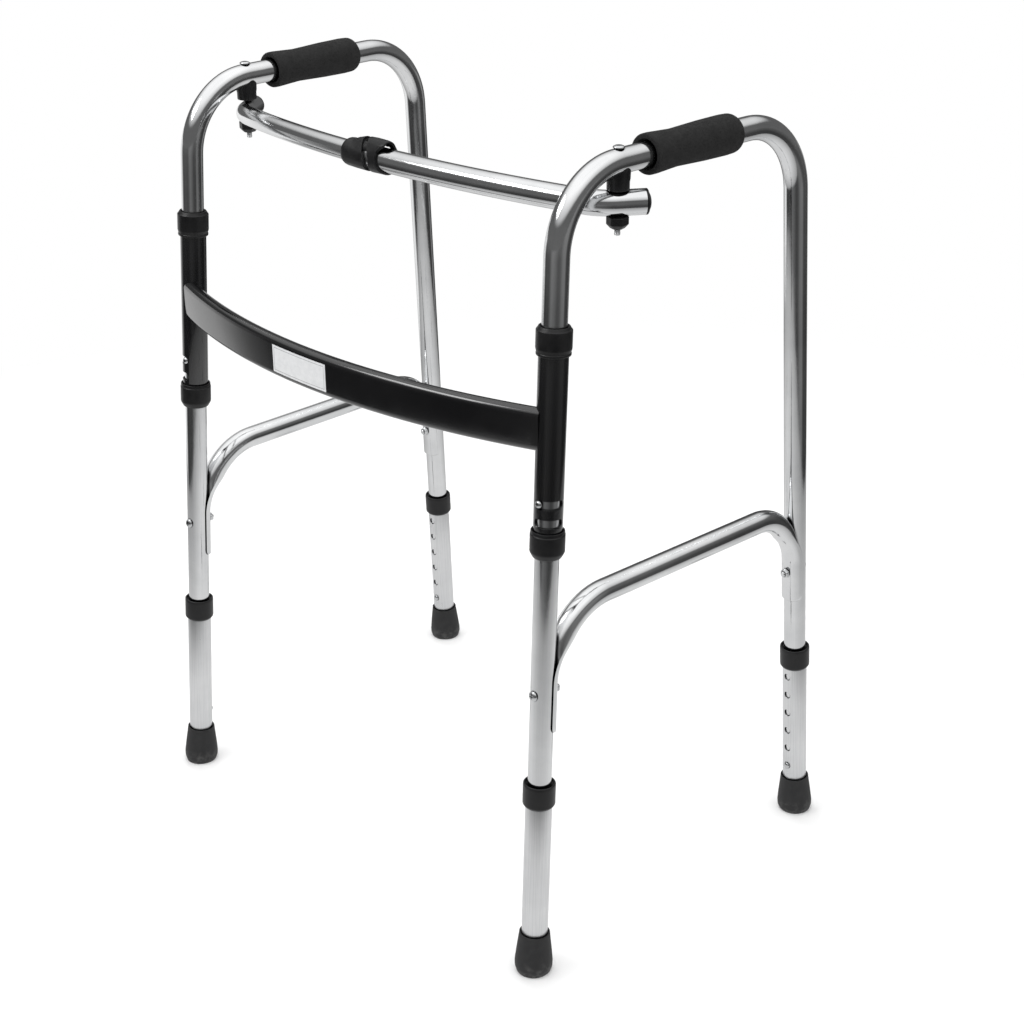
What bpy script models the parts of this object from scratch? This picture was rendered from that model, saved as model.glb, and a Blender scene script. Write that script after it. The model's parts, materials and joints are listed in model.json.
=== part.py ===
"""Folding walking frame with snap-button height adjustment.

Metres, +Z up. The floor is z = 0 and the origin lies under the middle of the frame. The user stands on the
+Y side and faces -Y, so +X is the user's left. Each side frame lies in its own plane: it leans inward at the
top, and its rear leg stands wider than its front leg. "Side coordinates" are x outward or inward across that
plane, y rearward and z up in it. "Leg coordinates" start on the floor at a leg's axis, with z along the leg.
"""

import math

import bmesh
import bpy
from mathutils import Matrix, Vector

MM = 0.001
GAP = 0.3 * MM                       # clearance between neighbouring solids

# Stance
FRONT_Y = -223.4 * MM                # front feet; this centres the whole footprint on the origin
FRONT_X = 304.6 * MM
REAR_X = 319.2 * MM
DEPTH = 453.3 * MM                   # front feet to rear feet
SIDE_LEAN = math.radians(1.33)       # side frame, inward at the top
LEG_LEAN = math.radians(3.55)        # front and rear leg, towards each other
HANDLE_H = 871.7 * MM

# Side frame
TUBE_R = 12.7 * MM                   # 1 inch tube
TUBE_WALL = 1.5 * MM
HANDLE_BEND_R = 82 * MM
LEG_BOTTOM_H = 57 * MM               # lower end of the side frame's tube, inside the extension
GRIP_R = 20 * MM
GRIP_FRONT = 170 * MM                # behind the front feet
GRIP_LENGTH = 129.5 * MM
GRIP_EDGE = 5 * MM

# Height adjustment
EXTENSION_R = 14.3 * MM
EXTENSION_BORE_R = 13.1 * MM
EXTENSION_BOTTOM_H = 8.5 * MM
EXTENSION_TOP_H = 228 * MM
LEG_COLLAR_R = 17.5 * MM
LEG_COLLAR_SPAN = (206.5 * MM, 233.5 * MM)
BUTTON_H = 68 * MM
BUTTON_R = 4 * MM
BUTTON_TIP = 17.3 * MM               # from the leg's axis
BUTTON_ROOT = 6.7 * MM
HOLE_R = 4.5 * MM
HOLE_PITCH = 25.4 * MM
HOLE_COUNT = 6
SPRING_THICK = 0.8 * MM
SPRING_WIDE = 8 * MM
FOOT_BASE_R = 21 * MM
FOOT_TOP_R = 17 * MM
FOOT_H = 48 * MM

# Fold joint
SLEEVE_R = 15 * MM
SLEEVE_COLLAR_R = 18 * MM
UPPER_COLLAR_SPAN = (702 * MM, 731 * MM)     # mouth and lip, up the leg
LOWER_COLLAR_SPAN = (521 * MM, 492 * MM)
SLEEVE_BOTTOM_H = 499 * MM
SLEEVE_TOP_H = 724 * MM
SLOT_HEIGHTS = (531 * MM, 551 * MM)
SLOT_TALL = 9.6 * MM
SLOT_FROM = -20                      # degrees from straight ahead, towards the outer side
SLOT_TO = 112

# Crossbars
BAR_H = 625.3 * MM
BAR_TALL = 45 * MM
BAR_THICK = 16 * MM
BAR_CORNER_R = 7 * MM
BAR_BULGE = 51.5 * MM
BAR_FORWARD = 6 * MM                 # the bar's arc passes this far ahead of the sleeves' axes
BAR_END_INSET = 5.5 * MM             # and stops this far inward of them
PLATE_X = -17 * MM
PLATE_WIDE = 88 * MM
PLATE_TALL = 30.5 * MM
PLATE_THICK = 0.4 * MM
CROSSBAR_H = 831 * MM
CROSSBAR_R1 = 1309 * MM              # shallow middle bow
CROSSBAR_R2 = 45 * MM                # tight bend at each end
CROSSBAR_END_ANGLE = math.radians(55)
CROSSBAR_TAIL = 27 * MM
SMALL_TUBE_R = 11.1 * MM
PIVOT_Y = 133 * MM                   # behind the front feet
PIVOT_BOLT_BOTTOM = 799 * MM
PIVOT_SPACER_R = 12 * MM
KNOB_R = 11.5 * MM
KNOB_TALL = 12 * MM
KNOB_STRAIGHT = 7.5 * MM
CAP_RISE = 5.5 * MM
CAP_PLUG = 8 * MM
CLIP_FROM = -55 * MM                 # along x: the clip sits on the right half
CLIP_TO = 9.5 * MM
CLIP_R = 15 * MM
CLIP_GAP = 0.7 * MM                  # the clip is straight and the tubes in it are bowed
CLIP_EDGE = 2 * MM
HUMP_R = 10 * MM                     # ridge along the clip's top
HUMP_RISE = ((-48, 3), (-38, 7.5), (-26, 11), (8, 11.5))   # its centre, mm: along x, above the tube's axis
CLAW_FROM = -24 * MM                 # from here on the bore takes the large tube
MOUTH_FROM = -20 * MM                # rear opening, through which the large tube swings out
MOUTH_HALF = 58                      # degrees each side of straight behind
GROOVE = (-15.7 * MM, -8.3 * MM)     # front opening that makes the claw springy
GROOVE_ANGLES = (-55, 35)            # degrees up from straight ahead
NOTCH_FROM = 5 * MM                  # front of the claw's end, between its hood and its lower lip
NOTCH_ANGLES = (-62, 46)
LARGE_TUBE_START = -21 * MM          # the left half reaches past the middle, into the claw
SMALL_TUBE_START = 30 * MM           # the right half stops short of the middle, inside the clip's collar

# Side brace; the first of each pair is its front end
BRACE_KNEES = (425 * MM, 418.5 * MM)     # height of the corner that each bend rounds
BRACE_BEND_R = (75 * MM, 60 * MM)
BRACE_BOLT_H = 339 * MM
BRACE_END_H = (293 * MM, 301 * MM)
BRACE_OFFSET = 14 * MM               # centreline of each end, from the leg's axis
BRACE_WRAP_R = 15.4 * MM             # outside of the pressed end, which wraps round the leg
BRACE_WRAP = math.radians(80)        # to each side
BRACE_ROUND_FROM_H = 396 * MM        # the tube is round above this height
BRACE_PRESS_LENGTH = 46 * MM
BRACE_BORE_TO = 0.7                  # the bore ends where the tube is pressed this much

BOLT_R = 3 * MM
BOLT_HEAD = (5.5 * MM, 3.4 * MM)     # radius and height of each head
SCREW_HEAD = (4.2 * MM, 3.8 * MM)
PIVOT_HEAD = (6 * MM, 2.6 * MM)
SCREW_TIP = 8 * MM                   # from the leg's axis
NUT_R = 5.5 * MM
NUT_THICK = 5 * MM
NUT_EDGE = 0.6 * MM
BOLT_HOLE_R = 3.4 * MM
HEX_BORE_R = (BOLT_R + GAP) / math.cos(math.radians(30))
ROUND = 16                           # sides of a tube
SMALL_ROUND = 12
HOLE_ROUND = 10
BOW_STEPS = 8
BEND_STEPS = 5
BRACE_BEND_STEPS = 9
BAR_STEPS = 16
BAR_SECTION_STEPS = 12
PLATE_STEPS = 6

SIDES = {"left": 1, "right": -1}
ENDS = {"front": 1, "rear": -1}      # the way a leg faces the other one


def clear_scene():
    for obj in list(bpy.data.objects):
        bpy.data.objects.remove(obj, do_unlink=True)


def new_collection(name):
    collection = bpy.data.collections.new(name)
    bpy.context.scene.collection.children.link(collection)
    return collection


def make_material(name, colour, roughness, metallic):
    material = bpy.data.materials.new(name)
    material.use_nodes = True
    shader = material.node_tree.nodes["Principled BSDF"]
    shader.inputs["Base Color"].default_value = (*colour, 1)
    shader.inputs["Roughness"].default_value = roughness
    shader.inputs["Metallic"].default_value = metallic
    material.diffuse_color = (*colour, 1)
    return material


def add_object(name, mesh, matrix, material=None):
    """A part where a material is given, and a cutter where none is."""
    obj = bpy.data.objects.new(name, mesh)
    obj.matrix_basis = matrix
    if material:
        mesh.materials.append(material)
        mesh.shade_smooth()
        mesh.set_sharp_from_angle(angle=math.radians(35))
        parts.objects.link(obj)
    else:
        obj.hide_render = True
        obj.display_type = "WIRE"
        cutters.objects.link(obj)
    return obj


def add_empty(name, matrix):
    empty = bpy.data.objects.new(name, None)
    empty.matrix_basis = matrix
    empty.empty_display_size = 0.03
    parts.objects.link(empty)
    return empty


def attach(empty, objects):
    """Parents objects to a joint's empty and leaves them where they are."""
    for obj in objects:
        obj.parent = empty
        obj.matrix_parent_inverse = empty.matrix_basis.inverted()


def cut(target, cutter, operation="DIFFERENCE"):
    modifier = target.modifiers.new(cutter.name, "BOOLEAN")
    modifier.operation = operation
    modifier.object = cutter


def join(target, other):
    cut(target, other, operation="UNION")


def mesh_from(name, build):
    shape = bmesh.new()
    build(shape)
    mesh = bpy.data.meshes.new(name)
    shape.to_mesh(mesh)
    shape.free()
    return mesh


def cylinder_cutter(name, radius, length, matrix, sides=HOLE_ROUND):
    def build(shape):
        bmesh.ops.create_cone(
            shape, cap_ends=True, segments=sides, radius1=radius, radius2=radius, depth=length
        )

    return add_object(name, mesh_from(name, build), matrix)


def turned(name, profile, matrix, material=None, sides=ROUND, closed=False):
    """A (radius, height) profile turned about local Z. It runs down the outer side, top to bottom."""

    def build(shape):
        points = [shape.verts.new((radius, 0, height)) for radius, height in profile]
        for first, second in zip(points, points[1:]):
            shape.edges.new((first, second))
        if closed:
            shape.edges.new((points[-1], points[0]))

    obj = add_object(name, mesh_from(name, build), matrix, material)
    screw = obj.modifiers.new("turn", "SCREW")
    screw.steps = sides
    screw.render_steps = sides
    screw.use_merge_vertices = True
    screw.merge_threshold = 0.00001
    screw.use_smooth_shade = material is not None
    return obj


def ring_profile(outer, inner, bottom, top, edge):
    """Closed profile of a ring whose outer edges are chamfered."""
    return [
        (outer - edge, top),
        (outer, top - edge),
        (outer, bottom + edge),
        (outer - edge, bottom),
        (inner, bottom),
        (inner, top),
    ]


def cap_profile(outer, wide_bore, mouth, step, lip):
    """Closed profile of a collar on a tube's end: wide from its mouth to the step, then a guide."""
    chamfer = 2 * MM
    edge = math.copysign(chamfer, lip - mouth)
    points = [
        (outer - chamfer, lip),
        (outer, lip - edge),
        (outer, mouth + edge),
        (outer - chamfer, mouth),
        (wide_bore, mouth),
        (wide_bore, step),
        (EXTENSION_BORE_R, step),
        (EXTENSION_BORE_R, lip),
    ]
    return points if lip > mouth else points[::-1]


def wedge_cutter(name, radius, height, start, end, matrix):
    """A pie slice about local Z, from one angle to another in degrees, centred in height."""

    def build(shape):
        count = round((end - start) / 16)
        angles = [math.radians(start + (end - start) * n / count) for n in range(count + 1)]
        rim = [shape.verts.new((radius * math.cos(a), radius * math.sin(a), -height / 2)) for a in angles]
        face = shape.faces.new([shape.verts.new((0, 0, -height / 2)), *rim])
        made = bmesh.ops.extrude_face_region(shape, geom=[face])["geom"]
        moved = [item for item in made if isinstance(item, bmesh.types.BMVert)]
        bmesh.ops.translate(shape, verts=moved, vec=(0, 0, height))
        bmesh.ops.recalc_face_normals(shape, faces=shape.faces)

    return add_object(name, mesh_from(name, build), matrix)


def rounded_path(corners, radius, steps):
    """A polyline whose inner corners are arcs."""
    points = [corners[0]]
    for before, corner, after in zip(corners, corners[1:], corners[2:]):
        into = (corner - before).normalized()
        out = (after - corner).normalized()
        turn = into.angle(out)
        start = corner - into * radius * math.tan(turn / 2)
        side = (out - into * into.dot(out)).normalized()
        for n in range(steps + 1):
            angle = turn * n / steps
            points.append(start + into * radius * math.sin(angle) + side * radius * (1 - math.cos(angle)))
    points.append(corners[-1])
    return points


def tube_mesh(name, points, radius, capped, sides=ROUND):
    """A curve's round bevel along the points, made a mesh."""
    curve = bpy.data.curves.new(name, "CURVE")
    curve.dimensions = "3D"
    curve.bevel_depth = radius
    curve.bevel_resolution = (sides - 4) // 2
    curve.use_fill_caps = capped
    spline = curve.splines.new("POLY")
    spline.points.add(len(points) - 1)
    for spline_point, point in zip(spline.points, points):
        spline_point.co = (*point, 1)
    guide = bpy.data.objects.new(name, curve)
    bpy.context.scene.collection.objects.link(guide)
    graph = bpy.context.evaluated_depsgraph_get()
    mesh = bpy.data.meshes.new_from_object(guide.evaluated_get(graph))
    bpy.data.objects.remove(guide, do_unlink=True)
    shape = bmesh.new()
    shape.from_mesh(mesh)
    bmesh.ops.remove_doubles(shape, verts=shape.verts, dist=0.00001)
    shape.to_mesh(mesh)
    shape.free()
    return mesh


def hollow_tube(name, points, radius, matrix, material):
    obj = add_object(name, tube_mesh(name, points, radius, capped=False), matrix, material)
    wall = obj.modifiers.new("wall", "SOLIDIFY")
    wall.thickness = TUBE_WALL
    wall.offset = -1
    return obj


def tube_cutter(name, points, radius, matrix):
    return add_object(name, tube_mesh(name, points, radius, capped=True), matrix)


def lofted(name, rings, matrix, material=None):
    """A closed skin over rings of points, all with the same count."""

    def build(shape):
        rows = [[shape.verts.new(point) for point in ring] for ring in rings]
        for lower, upper in zip(rows, rows[1:]):
            for n in range(len(lower)):
                m = (n + 1) % len(lower)
                shape.faces.new((lower[n], lower[m], upper[m], upper[n]))
        shape.faces.new(rows[0])
        shape.faces.new(rows[-1])
        bmesh.ops.recalc_face_normals(shape, faces=shape.faces)

    return add_object(name, mesh_from(name, build), matrix, material)


def side_matrix(side):
    middle = Matrix.Translation((side * (FRONT_X + REAR_X) / 2, FRONT_Y + DEPTH / 2, 0))
    toe = math.atan2(REAR_X - FRONT_X, DEPTH)
    return middle @ Matrix.Rotation(-side * toe, 4, "Z") @ Matrix.Rotation(-side * SIDE_LEAN, 4, "Y")


def half_stance():
    return math.hypot(DEPTH, REAR_X - FRONT_X) / 2


def leg_matrix(side, end):
    """Leg coordinates: z runs up the leg, and y is rearward for both legs."""
    foot = Matrix.Translation((0, -end * half_stance(), 0))
    return side_matrix(side) @ foot @ Matrix.Rotation(-end * LEG_LEAN, 4, "X")


def across(end, height):
    """In leg coordinates, a frame whose z points at the other leg."""
    return Matrix.Translation((0, 0, height)) @ Matrix.Rotation(-end * math.pi / 2, 4, "X")


def rearward(y):
    """A distance behind the front feet as a y in side coordinates."""
    return y - half_stance()


def handle_path():
    """Centreline of the side frame's tube, in side coordinates."""
    top_y = half_stance() - HANDLE_H * math.tan(LEG_LEAN)
    bottom_y = half_stance() - LEG_BOTTOM_H * math.sin(LEG_LEAN)
    bottom_z = LEG_BOTTOM_H * math.cos(LEG_LEAN)
    front = [Vector((0, -bottom_y, bottom_z)), Vector((0, -top_y, HANDLE_H))]
    rear = [Vector((0, top_y, HANDLE_H)), Vector((0, bottom_y, bottom_z))]
    return rounded_path(front + rear, HANDLE_BEND_R, 7)


def pivot_point(side):
    """Where the crossbar's bolt meets the crossbar's centreline."""
    on_handle = side_matrix(side) @ Vector((0, rearward(PIVOT_Y), HANDLE_H))
    return Vector((on_handle.x, on_handle.y, CROSSBAR_H))


def bow_angle():
    """Heading of the crossbar where its middle bow meets the bend at its end."""
    reach = pivot_point(1).x - CROSSBAR_R2 * math.sin(CROSSBAR_END_ANGLE)
    return math.asin(reach / (CROSSBAR_R1 - CROSSBAR_R2))


def crossbar_path(side, start_x):
    """Half of the crossbar, from start_x on its own side of the middle to its tail, in world coordinates."""
    pivot = pivot_point(side)
    bow = bow_angle()
    bow_drop = CROSSBAR_R1 * (1 - math.cos(bow))
    bend_drop = CROSSBAR_R2 * (math.cos(bow) - math.cos(CROSSBAR_END_ANGLE))
    middle_y = pivot.y - bow_drop - bend_drop
    first = math.asin(start_x / CROSSBAR_R1)
    points = []
    for n in range(BOW_STEPS + 1):
        angle = first + (bow - first) * n / BOW_STEPS
        points.append((CROSSBAR_R1 * math.sin(angle), middle_y + CROSSBAR_R1 * (1 - math.cos(angle))))
    x, y = points[-1]
    for n in range(1, BEND_STEPS + 1):
        angle = bow + (CROSSBAR_END_ANGLE - bow) * n / BEND_STEPS
        along = CROSSBAR_R2 * (math.sin(angle) - math.sin(bow))
        back = CROSSBAR_R2 * (math.cos(bow) - math.cos(angle))
        points.append((x + along, y + back))
    x, y = points[-1]
    tail_x = x + CROSSBAR_TAIL * math.cos(CROSSBAR_END_ANGLE)
    points.append((tail_x, y + CROSSBAR_TAIL * math.sin(CROSSBAR_END_ANGLE)))
    return [Vector((side * px, py, CROSSBAR_H)) for px, py in points]


def make_handle_frame(label, side):
    matrix = side_matrix(side)
    frame = hollow_tube(f"handle_frame_{label}", handle_path(), TUBE_R, matrix, bright_aluminium)
    for end_label, end in ENDS.items():
        leg = leg_matrix(side, end)
        place = f"{end_label}_{label}"
        bolt_at = leg @ across(end, BRACE_BOLT_H)
        bolt_hole = cylinder_cutter(f"cut_bolt_{place}", BOLT_HOLE_R, 4 * TUBE_R, bolt_at)
        button_hole = cylinder_cutter(
            f"cut_button_{place}",
            HOLE_R,
            2 * TUBE_R,
            leg @ across(end, BUTTON_H) @ Matrix.Translation((0, 0, TUBE_R)),
        )
        cut(frame, bolt_hole)
        cut(frame, button_hole)
    screw_hole = cylinder_cutter(
        f"cut_screw_{label}",
        BOLT_HOLE_R,
        2 * TUBE_R,
        leg_matrix(side, 1) @ across(-1, SLOT_HEIGHTS[1]) @ Matrix.Translation((0, 0, TUBE_R)),
    )
    pivot = Matrix.Translation(pivot_point(side) + Vector((0, 0, HANDLE_H - CROSSBAR_H)))
    cut(frame, screw_hole)
    cut(frame, cylinder_cutter(f"cut_pivot_{label}", BOLT_HOLE_R, 4 * TUBE_R, pivot))
    return frame


def make_grip(label, side):
    profile = ring_profile(GRIP_R, TUBE_R + GAP, 0, GRIP_LENGTH, GRIP_EDGE)
    start = Matrix.Translation((0, rearward(GRIP_FRONT), HANDLE_H)) @ Matrix.Rotation(-math.pi / 2, 4, "X")
    return turned(f"hand_grip_{label}", profile, side_matrix(side) @ start, black_foam, closed=True)


def pressed_ring(centre, to_leg, from_leg, flat, shrink):
    """One ring of the brace: round where flat is 0, and wrapped round the leg where it is 1."""
    radius = TUBE_R - shrink
    ring = []
    for n in range(SMALL_ROUND):
        angle = 2 * math.pi * n / SMALL_ROUND
        x, reach = radius * math.cos(angle), radius * math.sin(angle)
        if reach > 0:
            turn = BRACE_WRAP * math.copysign(math.sqrt(abs(math.cos(angle))), x)
            wrap_r = TUBE_R - 1 * MM
        else:
            turn = BRACE_WRAP * math.asin(math.cos(angle)) / (math.pi / 2)
            wrap_r = BRACE_WRAP_R - shrink
        x += (wrap_r * math.sin(turn) - x) * flat
        reach += (from_leg - wrap_r * math.cos(turn) - reach) * flat
        ring.append(centre + Vector((x, 0, 0)) + to_leg * reach)
    return ring


def brace_rings(shrink, most_flat):
    """Rings along the brace, in side coordinates, as far as it is pressed no more than most_flat."""

    def corner(end, height):
        y = half_stance() - height * math.tan(LEG_LEAN) - BRACE_OFFSET / math.cos(LEG_LEAN)
        return Vector((0, -end * y, height))

    knees = [corner(end, height) for end, height in zip((1, -1), BRACE_KNEES)]
    path = []
    for end, low, knee, other, radius in zip((1, -1), BRACE_END_H, knees, reversed(knees), BRACE_BEND_R):
        foot = corner(end, low)
        arc = rounded_path([foot, knee, other], radius, BRACE_BEND_STEPS)[1:-1]
        stretch = [foot, *(foot.lerp(arc[0], share) for share in (0.4, 0.8)), *arc]
        path += stretch if end == 1 else reversed(stretch)
    rings = []
    for n, point in enumerate(path):
        ahead = path[min(n + 1, len(path) - 1)] - path[max(n - 1, 0)]
        to_leg = Vector((1, 0, 0)).cross(ahead).normalized()
        flat = min(max((BRACE_ROUND_FROM_H - point.z) / BRACE_PRESS_LENGTH, 0), 1)
        flat = flat * flat * (3 - 2 * flat)
        from_leg = (half_stance() - point.z * math.tan(LEG_LEAN) - abs(point.y)) * math.cos(LEG_LEAN)
        if flat <= most_flat:
            rings.append(pressed_ring(point, to_leg, from_leg, flat, shrink))
    return rings


def make_brace(label, side):
    matrix = side_matrix(side)
    brace = lofted(f"side_brace_{label}", brace_rings(0, 1), matrix, bright_aluminium)
    cut(brace, lofted(f"cut_brace_bore_{label}", brace_rings(TUBE_WALL, BRACE_BORE_TO), matrix))
    for end_label, end in ENDS.items():
        leg = leg_matrix(side, end)
        place = f"{end_label}_{label}"
        seat = leg @ Matrix.Translation((0, 0, BRACE_BOLT_H))
        cut(brace, cylinder_cutter(f"cut_saddle_{place}", TUBE_R + GAP, BRACE_BOLT_H, seat, sides=ROUND))
        bolt_at = leg @ across(end, BRACE_BOLT_H)
        cut(brace, cylinder_cutter(f"cut_brace_bolt_{place}", BOLT_HOLE_R, 5 * TUBE_R, bolt_at))
    return brace


def pan_profile(head, under, tip):
    """A pan-head screw along local Z: the head sits above "under" and the shank ends at "tip"."""
    head_r, head_h = head
    return [
        (0, under + head_h),
        (0.6 * head_r, under + 0.9 * head_h),
        (head_r, under + 0.35 * head_h),
        (head_r, under),
        (BOLT_R, under),
        (BOLT_R, tip),
        (0, tip),
    ]


def make_brace_fasteners(label, side):
    """One bolt and nut through each leg and the brace's pressed end."""
    made = []
    nut_at = BRACE_WRAP_R + 2 * GAP
    tip = -nut_at - NUT_THICK - 2 * MM
    for end_label, end in ENDS.items():
        place = f"{end_label}_{label}"
        leg = leg_matrix(side, end)
        at = leg @ across(-end, BRACE_BOLT_H)
        profile = pan_profile(BOLT_HEAD, TUBE_R + GAP, tip)
        made.append(turned(f"brace_bolt_{place}", profile, at, plated_steel, sides=SMALL_ROUND))
        seat = leg @ across(end, BRACE_BOLT_H) @ Matrix.Translation((0, 0, nut_at))
        profile = ring_profile(NUT_R, HEX_BORE_R, 0, NUT_THICK, NUT_EDGE)
        made.append(turned(f"brace_nut_{place}", profile, seat, plated_steel, sides=6, closed=True))
    return made


def make_stop_screw(label, side):
    """The screw whose head runs in the sleeve's slot and stops the fold at both ends."""
    at = leg_matrix(side, 1) @ across(-1, SLOT_HEIGHTS[1])
    profile = pan_profile(SCREW_HEAD, TUBE_R + GAP, SCREW_TIP)
    return turned(f"fold_stop_screw_{label}", profile, at, plated_steel, sides=SMALL_ROUND)


def make_pivot(label, side):
    """The upright bolt under the handle, with its spacer above the crossbar and its knob below."""
    axis = Matrix.Translation(Vector((*pivot_point(side).xy, 0)))
    profile = pan_profile(PIVOT_HEAD, HANDLE_H + TUBE_R + GAP, PIVOT_BOLT_BOTTOM)
    bolt = turned(f"pivot_bolt_{label}", profile, axis, plated_steel, sides=SMALL_ROUND)
    low = CROSSBAR_H + TUBE_R + GAP
    profile = ring_profile(PIVOT_SPACER_R, BOLT_R + GAP, low, HANDLE_H, 1 * MM)
    spacer = turned(f"pivot_spacer_{label}", profile, axis, black_plastic, closed=True)
    cut(spacer, tube_cutter(f"cut_spacer_{label}", handle_path(), TUBE_R + GAP, side_matrix(side)))
    knob_top = CROSSBAR_H - TUBE_R - GAP
    knob_bottom = knob_top - KNOB_TALL
    profile = [
        (HEX_BORE_R, knob_top),
        (KNOB_R, knob_top),
        (KNOB_R, knob_top - KNOB_STRAIGHT),
        (KNOB_R / 2, knob_bottom),
        (HEX_BORE_R, knob_bottom),
    ]
    knob = turned(f"pivot_knob_{label}", profile, axis, black_plastic, sides=6, closed=True)
    return [bolt, spacer, knob]


def make_button_spring(end_label, label, side):
    """The bent strip inside the leg that pushes the button out. Its legs hang down from the bend."""
    end = ENDS[end_label]
    half = SPRING_THICK / 2
    # Rearward and up the leg, in mm; the first point is behind the button
    outline = [(-9.6, 58), (-7.4, 96), (-3, 104), (2, 104), (5, 96), (5.9, 58)]
    path = [Vector((0, end * y * MM, z * MM)) for y, z in outline]
    rings = []
    for n, point in enumerate(path):
        ahead = path[min(n + 1, len(path) - 1)] - path[max(n - 1, 0)]
        out = Vector((1, 0, 0)).cross(ahead).normalized() * half
        across_strip = Vector((SPRING_WIDE / 2, 0, 0))
        ring = [across_strip + out, out - across_strip, -across_strip - out, across_strip - out]
        rings.append([point + offset for offset in ring])
    name = f"button_spring_{end_label}_{label}"
    return lofted(name, rings, leg_matrix(side, end), spring_steel)


def make_extension(end_label, label, side):
    end = ENDS[end_label]
    leg = leg_matrix(side, end)
    name = f"leg_extension_{end_label}_{label}"
    profile = ring_profile(EXTENSION_R, EXTENSION_BORE_R, EXTENSION_BOTTOM_H, EXTENSION_TOP_H, 0.2 * MM)
    extension = turned(name, profile, leg, satin_aluminium, closed=True)
    for n in range(HOLE_COUNT):
        out = across(end, BUTTON_H + n * HOLE_PITCH) @ Matrix.Translation((0, 0, EXTENSION_R))
        cut(extension, cylinder_cutter(f"cut_hole_{n}_{end_label}_{label}", HOLE_R, EXTENSION_R, leg @ out))
    return extension


def make_foot(end_label, label, side):
    """A rubber ferrule. Its sole is level, though its axis follows the leg."""
    leg = leg_matrix(side, ENDS[end_label])
    socket = EXTENSION_R + GAP
    profile = [
        (socket, FOOT_H),
        (FOOT_TOP_R - 1 * MM, FOOT_H),
        (FOOT_TOP_R, FOOT_H - 2 * MM),
        (FOOT_TOP_R + 0.5 * MM, 0.7 * FOOT_H),
        (FOOT_BASE_R, 0.16 * FOOT_H),
        (FOOT_BASE_R - 1 * MM, 2 * MM),
        (FOOT_BASE_R - 2 * MM, -4 * MM),
        (0, -4 * MM),
        (0, EXTENSION_BOTTOM_H - GAP),
        (socket, EXTENSION_BOTTOM_H - GAP),
    ]
    foot = turned(f"rubber_foot_{end_label}_{label}", profile, leg, black_rubber, closed=True)
    floor = Matrix.Translation((*leg.translation.xy, -10 * MM))
    cut(foot, cylinder_cutter(f"cut_floor_{end_label}_{label}", 40 * MM, 20 * MM, floor))
    return foot


def make_leg_collar(end_label, label, side):
    leg = leg_matrix(side, ENDS[end_label])
    mouth, lip = LEG_COLLAR_SPAN
    profile = cap_profile(LEG_COLLAR_R, EXTENSION_R + GAP, mouth, EXTENSION_TOP_H + GAP, lip)
    return turned(f"leg_collar_{end_label}_{label}", profile, leg, black_plastic, closed=True)


def make_button(end_label, label, side):
    end = ENDS[end_label]
    round_start = BUTTON_TIP - 2 * MM
    profile = [(0, BUTTON_TIP)]
    for n in range(1, 4):
        angle = math.radians(30 * n)
        profile.append((BUTTON_R * math.sin(angle), round_start + 2 * MM * math.cos(angle)))
    profile += [(BUTTON_R, BUTTON_ROOT), (0, BUTTON_ROOT)]
    at = leg_matrix(side, end) @ across(end, BUTTON_H)
    return turned(f"snap_button_{end_label}_{label}", profile, at, plated_steel, sides=SMALL_ROUND)


def make_sleeve(label, side):
    leg = leg_matrix(side, 1)
    profile = ring_profile(SLEEVE_R, EXTENSION_BORE_R, SLEEVE_BOTTOM_H, SLEEVE_TOP_H, 0.2 * MM)
    sleeve = turned(f"fold_sleeve_{label}", profile, leg, black_paint, closed=True)
    start, end = sorted((-90 + side * SLOT_FROM, -90 + side * SLOT_TO))
    for n, height in enumerate(SLOT_HEIGHTS):
        at = leg @ Matrix.Translation((0, 0, height))
        cut(sleeve, wedge_cutter(f"cut_slot_{n}_{label}", 2 * SLEEVE_R, SLOT_TALL, start, end, at))
    ends = {
        "upper": (UPPER_COLLAR_SPAN, SLEEVE_TOP_H + GAP),
        "lower": (LOWER_COLLAR_SPAN, SLEEVE_BOTTOM_H - GAP),
    }
    for place, ((mouth, lip), step) in ends.items():
        profile = cap_profile(SLEEVE_COLLAR_R, SLEEVE_R + GAP, mouth, step, lip)
        turned(f"sleeve_collar_{place}_{label}", profile, leg, black_plastic, closed=True)


def bar_point(angle, radius, height, centre_y):
    return Vector((radius * math.sin(angle), centre_y - radius * math.cos(angle), height))


def bar_arc():
    """Radius, centre y and half angle of the lower bar's arc, seen from above."""
    end = leg_matrix(1, 1) @ Vector((0, 0, BAR_H)) - Vector((0, BAR_FORWARD, 0))
    radius = (end.x**2 + BAR_BULGE**2) / (2 * BAR_BULGE)
    return radius, end.y - BAR_BULGE + radius, math.asin((end.x - BAR_END_INSET) / radius)


def make_lower_bar():
    """A flat-oval bar bowed forward between the two sleeves."""
    radius, centre_y, half_angle = bar_arc()
    section = []
    for n in range(BAR_SECTION_STEPS):
        angle = 2 * math.pi * (n + 0.5) / BAR_SECTION_STEPS
        out = math.copysign(BAR_THICK / 2 - BAR_CORNER_R, math.cos(angle)) + BAR_CORNER_R * math.cos(angle)
        up = math.copysign(BAR_TALL / 2 - BAR_CORNER_R, math.sin(angle)) + BAR_CORNER_R * math.sin(angle)
        section.append((out, up))
    rings = []
    for n in range(BAR_STEPS + 1):
        angle = half_angle * (2 * n / BAR_STEPS - 1)
        rings.append([bar_point(angle, radius + out, BAR_H + up, centre_y) for out, up in section])
    bar = lofted("lower_crossbar", rings, Matrix(), black_paint)
    for label, side in SIDES.items():
        at = leg_matrix(side, 1) @ Matrix.Translation((0, 0, BAR_H))
        cut(bar, cylinder_cutter(f"cut_bar_{label}", SLEEVE_R + GAP, 3 * BAR_TALL, at, sides=ROUND))


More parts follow.
